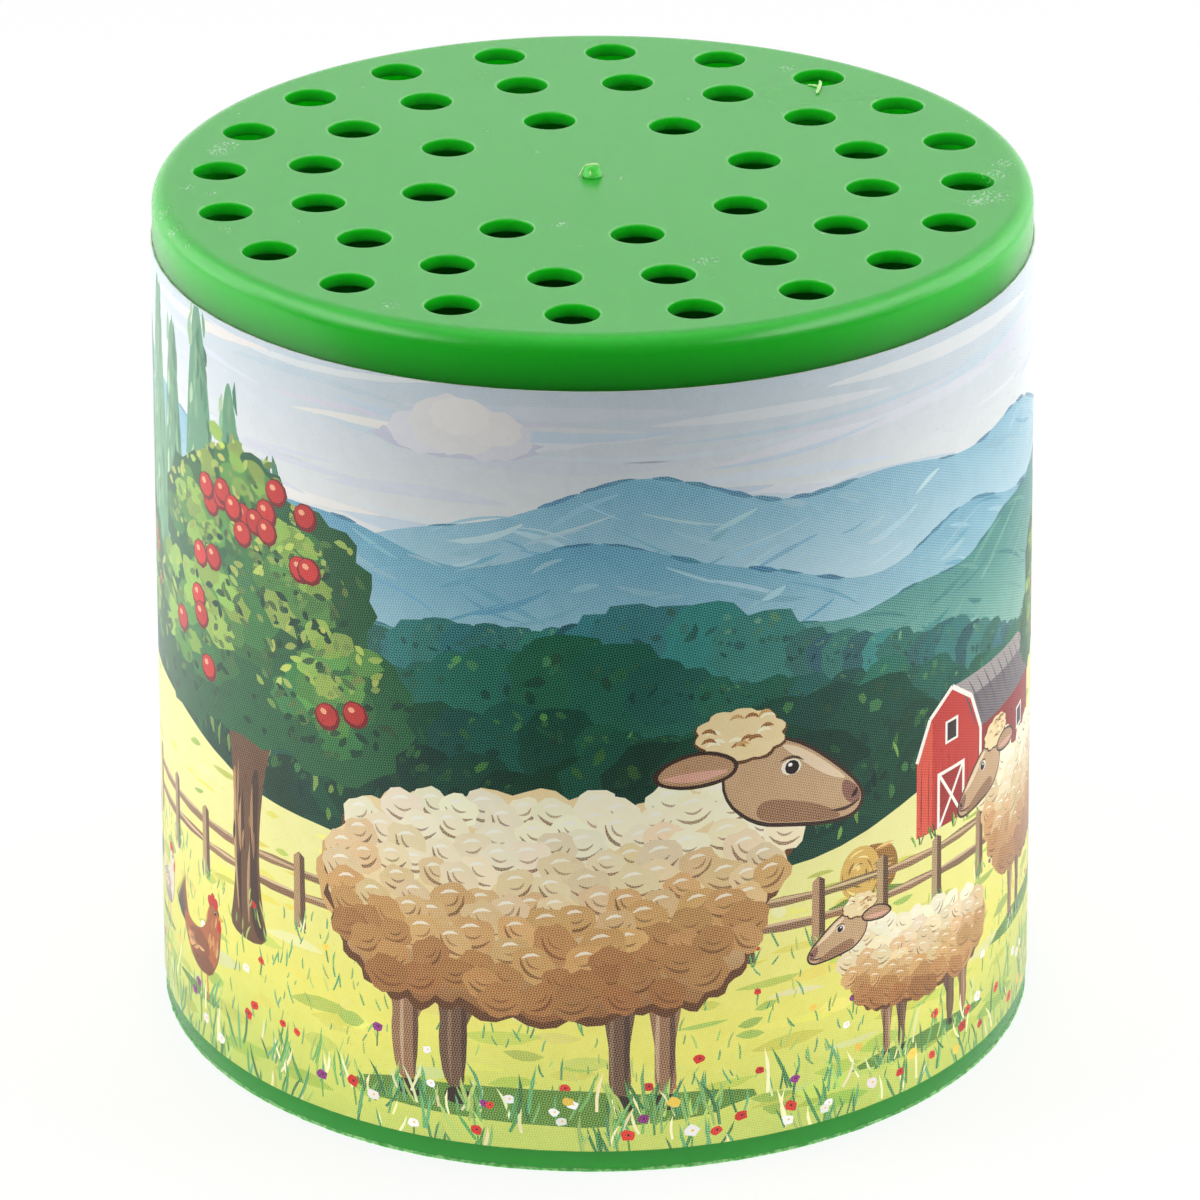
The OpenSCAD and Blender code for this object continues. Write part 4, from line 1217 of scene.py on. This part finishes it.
makeGate()
makeHairs("gateRidge", markSet["ridge"])
makeHairs("flashThread", markSet["thread"])
makeRimFlash()
print("moulding marks made")

# bellows: a pleated film sleeve that stretches between the plug and the weight
bellowsSet = {"foot": 2.45, "low": 5.9, "high": 14.9, "head": 18.35, "cuffR": 22.2, "outR": 26.5, "inR": 18.5,
              "pleats": 6, "film": 0.3, "fold": 0.14, "tip": 0.26, "inset": 0.15, "lead": 0.3,
              "bends": (-1.35, -.7, 0, .7, 1.35), "segments": 144, "ripple": (0.12, 9.0)}


def paintBellows(w):
    place = objectPlace(w)
    cloudy, crease = grain(w, place, 5, 4.0), grain(w, place, 1.1, 3.0, (1, 1, 3))
    colour = cloudy.ease(0.3, 0.7).blend((0.50, 0.46, 0.38, 1), (0.70, 0.66, 0.56, 1))
    return {"Base Color": colour, "Roughness": 0.34 + crease * 0.2, "Normal": bump(w, crease, 0.25, 0.15)}


bellowsFilm = newFinish("bellowsFilm", {"IOR": 1.48}, paintBellows)


def makeBellows():
    b = bellowsSet
    tip = b["tip"]
    pitch = (b["high"] - b["low"]) / b["pleats"]
    middle = [(b["cuffR"], b["foot"]), (b["cuffR"], b["low"] - b["lead"])]
    for i in range(1, 2 * b["pleats"]):
        z = b["low"] + i * pitch / 2
        way, r = (1, b["outR"] - b["inset"] - tip) if i % 2 else (-1, b["inR"] + b["inset"] + tip)
        middle += [(r + way * tip * math.cos(a), z + tip * math.sin(a)) for a in b["bends"]]
    middle += [(b["cuffR"], b["high"] + b["lead"]), (b["cuffR"], b["head"])]
    left, right = [], []
    for i, (r, z) in enumerate(middle):
        (r0, z0), (r1, z1) = middle[max(0, i - 1)], middle[min(len(middle) - 1, i + 1)]
        half = b["film" if r == b["cuffR"] else "fold"] / 2 / math.hypot(r1 - r0, z1 - z0)
        nr, nz = (z1 - z0) * half, (r0 - r1) * half
        left.append((r + nr, z + nz))
        right.append((r - nr, z - nz))
    sleeve = turnPiece("bellowsSleeve", left + right[::-1], b, bellowsFilm)
    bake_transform(sleeve)
    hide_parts("bellows")


makeBellows()

# felt bumper on the weight
feltSet = {"inR": 20.0, "outR": 25.0, "low": 23.5, "high": 25.5, "round": 0.5, "segments": 160,
           "ripple": (0.3, 7.0),
           "fixed": {"Sheen Weight": 0.4, "Sheen Roughness": 0.6, "Specular IOR Level": 0.2}}


def paintFelt(w):
    place = objectPlace(w)
    fibre, clump = grain(w, place, 0.35, 4.0, (1, 1, 2.5)), grain(w, place, 2.6, 3.0)
    mixed = (fibre * 0.6 + clump * 0.4).ease(0.35, 0.65)
    return {"Base Color": mixed.blend((0.24, 0.25, 0.22, 1), (0.50, 0.50, 0.45, 1)),
            "Roughness": 0.85 + fibre * 0.15, "Normal": bump(w, fibre + clump * 0.5, 0.6, 0.3)}


greyFelt = newFinish("greyFelt", feltSet["fixed"], paintFelt)


def makeFelt():
    f = feltSet
    c = f["round"]
    corners = ((f["outR"] - c, f["low"] + c, -math.pi / 2), (f["outR"] - c, f["high"] - c, 0),
               (f["inR"] + c, f["high"] - c, math.pi / 2), (f["inR"] + c, f["low"] + c, math.pi))
    profile = []
    for r, z, start in corners:
        bend = [start + k * math.pi / 8 for k in range(5)]
        profile += [(r + c * math.cos(a), z + c * math.sin(a)) for a in bend]
    settle(turnPiece("feltRing", profile, f, greyFelt), "weight", "felt", "felt_bumper")


makeFelt()

# finishes of the pieces inside
insideSet = {
    "weight_carrier": ("greyPlastic", (0.085, 0.095, 0.10, 1), 0.42),
    "voice_tube": ("ivoryPlastic", (0.78, 0.74, 0.60, 1), 0.35),
    "reed_block": ("whitePlastic", (0.74, 0.74, 0.70, 1), 0.38),
    "tube_seal": ("blackRubber", (0.018, 0.018, 0.018, 1), 0.70),
    "valve_disc": ("darkRubber", (0.035, 0.035, 0.038, 1), 0.62),
    "lower_band": ("amberRubber", (0.33, 0.13, 0.045, 1), 0.50),
    "upper_band": ("amberRubber", (0.33, 0.13, 0.045, 1), 0.50),
    "weight_slug": ("turnedSteel", (0.50, 0.51, 0.53, 1), 0.30),
    "push_nut": ("springSteel", (0.42, 0.43, 0.46, 1), 0.26),
    "reed_tongue": ("reedBrass", (0.72, 0.50, 0.16, 1), 0.26),
    "valve_pin": ("pinBrass", (0.66, 0.45, 0.15, 1), 0.24),
    "reed_wedge": ("bareWood", (0.48, 0.29, 0.14, 1), 0.60),
}


def darker(tone, share):
    return tuple(c * share for c in tone[:3]) + (1,)


def paintMoulded(tone, rough):
    def rule(w):
        place = objectPlace(w)
        cloudy, fine = grain(w, place, 6, 3.0), grain(w, place, 0.4)
        colour = cloudy.ease(0.3, 0.7).blend(darker(tone, 0.82), tone)
        return {"Base Color": colour, "Roughness": rough + (cloudy - 0.5) * 0.2,
                "Normal": bump(w, fine, 0.12, 0.1)}
    return rule


def paintMetal(tone, rough, turnedMarks):
    def rule(w):
        place = objectPlace(w)
        if turnedMarks:  # tool rings round the axis
            part = w.split(place)
            far = w.apart(w.join(part.get("X"), part.get("Y")))
            marks = w.node("ShaderNodeTexNoise", {"noise_dimensions": "1D"},
                           {"W": far, "Scale": 4200.0, "Detail": 2.0})
        else:  # rolled lines along the strip
            marks = grain(w, place, 0.25, 3.0, (1, 1, 0.06))
        stain = grain(w, place, 4, 4.0)
        colour = stain.ease(0.35, 0.75).blend(tone, darker(tone, 0.7))
        return {"Base Color": colour, "Roughness": rough + marks * 0.16 + stain * 0.08,
                "Normal": bump(w, marks, 0.2, 0.05)}
    return rule


def paintWood(tone, rough):
    def rule(w):
        years = grain(w, objectPlace(w), 0.7, 4.0, (1.4, 1.4, 0.10))
        colour = years.ease(0.32, 0.68).blend(darker(tone, 0.6), tone)
        return {"Base Color": colour, "Roughness": rough + years * 0.2, "Normal": bump(w, years, 0.3, 0.1)}
    return rule


def dress(node, finish):
    nodes[node].data.materials.clear()
    nodes[node].data.materials.append(finish)


def dressInside():
    made = {}
    for node, (name, tone, rough) in insideSet.items():
        if name not in made:
            metal = "Steel" in name or "Brass" in name
            if metal:
                rule = paintMetal(tone, rough, node == "weight_slug")
            else:
                rule = paintWood(tone, rough) if "Wood" in name else paintMoulded(tone, rough)
            made[name] = newFinish(name, {"Metallic": 1.0 if metal else 0.0}, rule)
        dress(node, made[name])
    dress("base_plug", greenPlastic)


dressInside()
print("inside pieces dressed")

# stage
stageSet = {
    "half": 3.0, "seen": (0.20, 0.84), "floor": 0.80, "glow": 0.99, "dark": 0.04, "apron": 1.25,
    "mirrored": 0.8, "toLeft": 0.5, "toRight": 0.35, "behind": 0.36,  # the floor as reflections see it
    "ambient": 0.03, "room": 0.06, "dome": 0.93, "back": 1.15, "sides": 3.05, "fore": 1.0, "notch": 0.8,
    "lamps": (("leftBox", (-0.524, -0.092, 0.403), 0.4, 1.34), ("rightBox", (0.532, 0.0, 0.403), 0.4, 1.32),
              ("topBox", (0.0, 0.12, 0.75), 0.5, 2.83), ("frontBox", (0.0, -0.725, 0.368), 0.4, 0.9)),
    "aim": (0, 0, 0.03), "lens": 194.18, "sensor": 36.0, "clip": (0.01, 20),
    "eye": (0.0, -0.405768, 0.209559), "eyeTurn": (65.89177, 0.19539, -0.14253),
}


def grey(level):
    return (level, level, level, 1)


def glow(w, colour):
    return w.node("ShaderNodeEmission", {}, {"Color": colour})


def finishTree(tree, kind, wire):
    exitNode = tree.nodes.new(kind)
    tree.links.new(wire.out, exitNode.inputs["Surface"])


def makeFloor():  # a lit table that ends a little way before the can
    s = stageSet
    mesh = bpy.data.meshes.new("floor")
    corners = [(x * s["half"], y * s["half"], 0) for x, y in ((-1, -1), (1, -1), (1, 1), (-1, 1))]
    mesh.from_pydata(corners, [], [(0, 1, 2, 3)])
    floor = addObject("floor", mesh)
    finish = bpy.data.materials.new("paleFloor")
    finish.use_nodes = True
    tree = finish.node_tree
    tree.nodes.clear()
    w = Wire(tree)
    path = w.node("ShaderNodeLightPath", out="Is Camera Ray")
    part = w.split(objectPlace(w))
    x, y = part.get("X"), part.get("Y")
    table = y.ease(-0.10, -0.06) * (1 - s["dark"]) + s["dark"]
    beside = w.maths("ABSOLUTE", x).ease(0.035, 0.09)
    toLeft = x.ease(-0.03, -0.12) * s["toLeft"]
    toRight = x.ease(0.03, 0.12) * y.ease(0.11, 0.07) * s["toRight"]
    behind = y.ease(0.085, 0.105) * x.ease(0.0, 0.04) * s["behind"]
    seen = w.node("ShaderNodeAddShader", {}, {
        0: w.node("ShaderNodeBsdfDiffuse", {}, {"Color": grey(s["seen"][0])}),
        1: glow(w, grey(s["seen"][1]))})
    apron = (table * (1 + beside * s["apron"]) / 2).blend(grey(0), grey(2 * s["glow"]))
    lit = w.node("ShaderNodeAddShader", {}, {
        0: w.node("ShaderNodeBsdfDiffuse", {}, {"Color": table.blend(grey(0), grey(s["floor"]))}),
        1: glow(w, apron)})
    mirrored = (table * (s["mirrored"] + toLeft - toRight + behind) / 2).blend(grey(0), grey(2))
    unseen = w.node("ShaderNodeMixShader", {}, {0: path.get("Is Glossy Ray"), 1: lit, 2: glow(w, mirrored)})
    mixed = w.node("ShaderNodeMixShader", {}, {0: path, 1: unseen, 2: seen})
    finishTree(tree, "ShaderNodeOutputMaterial", mixed)
    mesh.materials.append(finish)


def makeWorld():
    s = stageSet
    world = bpy.data.worlds.new("studio")
    bpy.context.scene.world = world
    world.use_nodes = True
    tree = world.node_tree
    tree.nodes.clear()
    w = Wire(tree)
    path = w.node("ShaderNodeLightPath", out="Is Camera Ray")
    mirror = path.get("Is Glossy Ray").most(path.get("Is Transmission Ray"))
    way = w.split(w.node("ShaderNodeTexCoord", out="Generated"))
    y, z = way.get("Y"), way.get("Z")
    dome = (y * s["dome"] + s["dome"]).least(s["back"])  # white behind, dim in front
    aside = w.maths("ABSOLUTE", way.get("X"))
    boxes = aside.ease(0.48, 0.68) * (z + y * 0.45).ease(-0.05, 0.28)
    notch = aside.ease(0.86, 0.95) * y.ease(0.22, 0.05) * s["notch"]  # weaker straight from the side
    boxes = boxes * (1 - notch)
    boxes = boxes * (1 - y * s["fore"]) * s["sides"]  # brighter towards the front
    reflected = dome + boxes + s["room"]
    level = path + (1 - path) * (mirror * reflected + (1 - mirror) * s["ambient"])
    sky = w.node("ShaderNodeBackground", {}, {"Color": grey(1), "Strength": level})
    finishTree(tree, "ShaderNodeOutputWorld", sky)


def makeLamps():
    for name, place, size, power in stageSet["lamps"]:
        lamp = bpy.data.lights.new(name, "AREA")
        lamp.shape, lamp.size, lamp.energy = "DISK", size, power
        box = addObject(name, lamp)
        box.location = place
        box.rotation_euler = (Vector(stageSet["aim"]) - Vector(place)).to_track_quat("-Z", "Y").to_euler()
        box.visible_glossy = False


def makeCamera():
    eye = bpy.data.cameras.new("photoCamera")
    eye.lens, eye.sensor_width = stageSet["lens"], stageSet["sensor"]
    eye.clip_start, eye.clip_end = stageSet["clip"]
    camera = addObject("photoCamera", eye)
    camera.location = stageSet["eye"]
    camera.rotation_euler = [math.radians(a) for a in stageSet["eyeTurn"]]
    bpy.context.scene.camera = camera


makeFloor()
makeWorld()
makeLamps()
makeCamera()
bpy.context.scene.view_settings.view_transform = "Standard"
print("stage set")
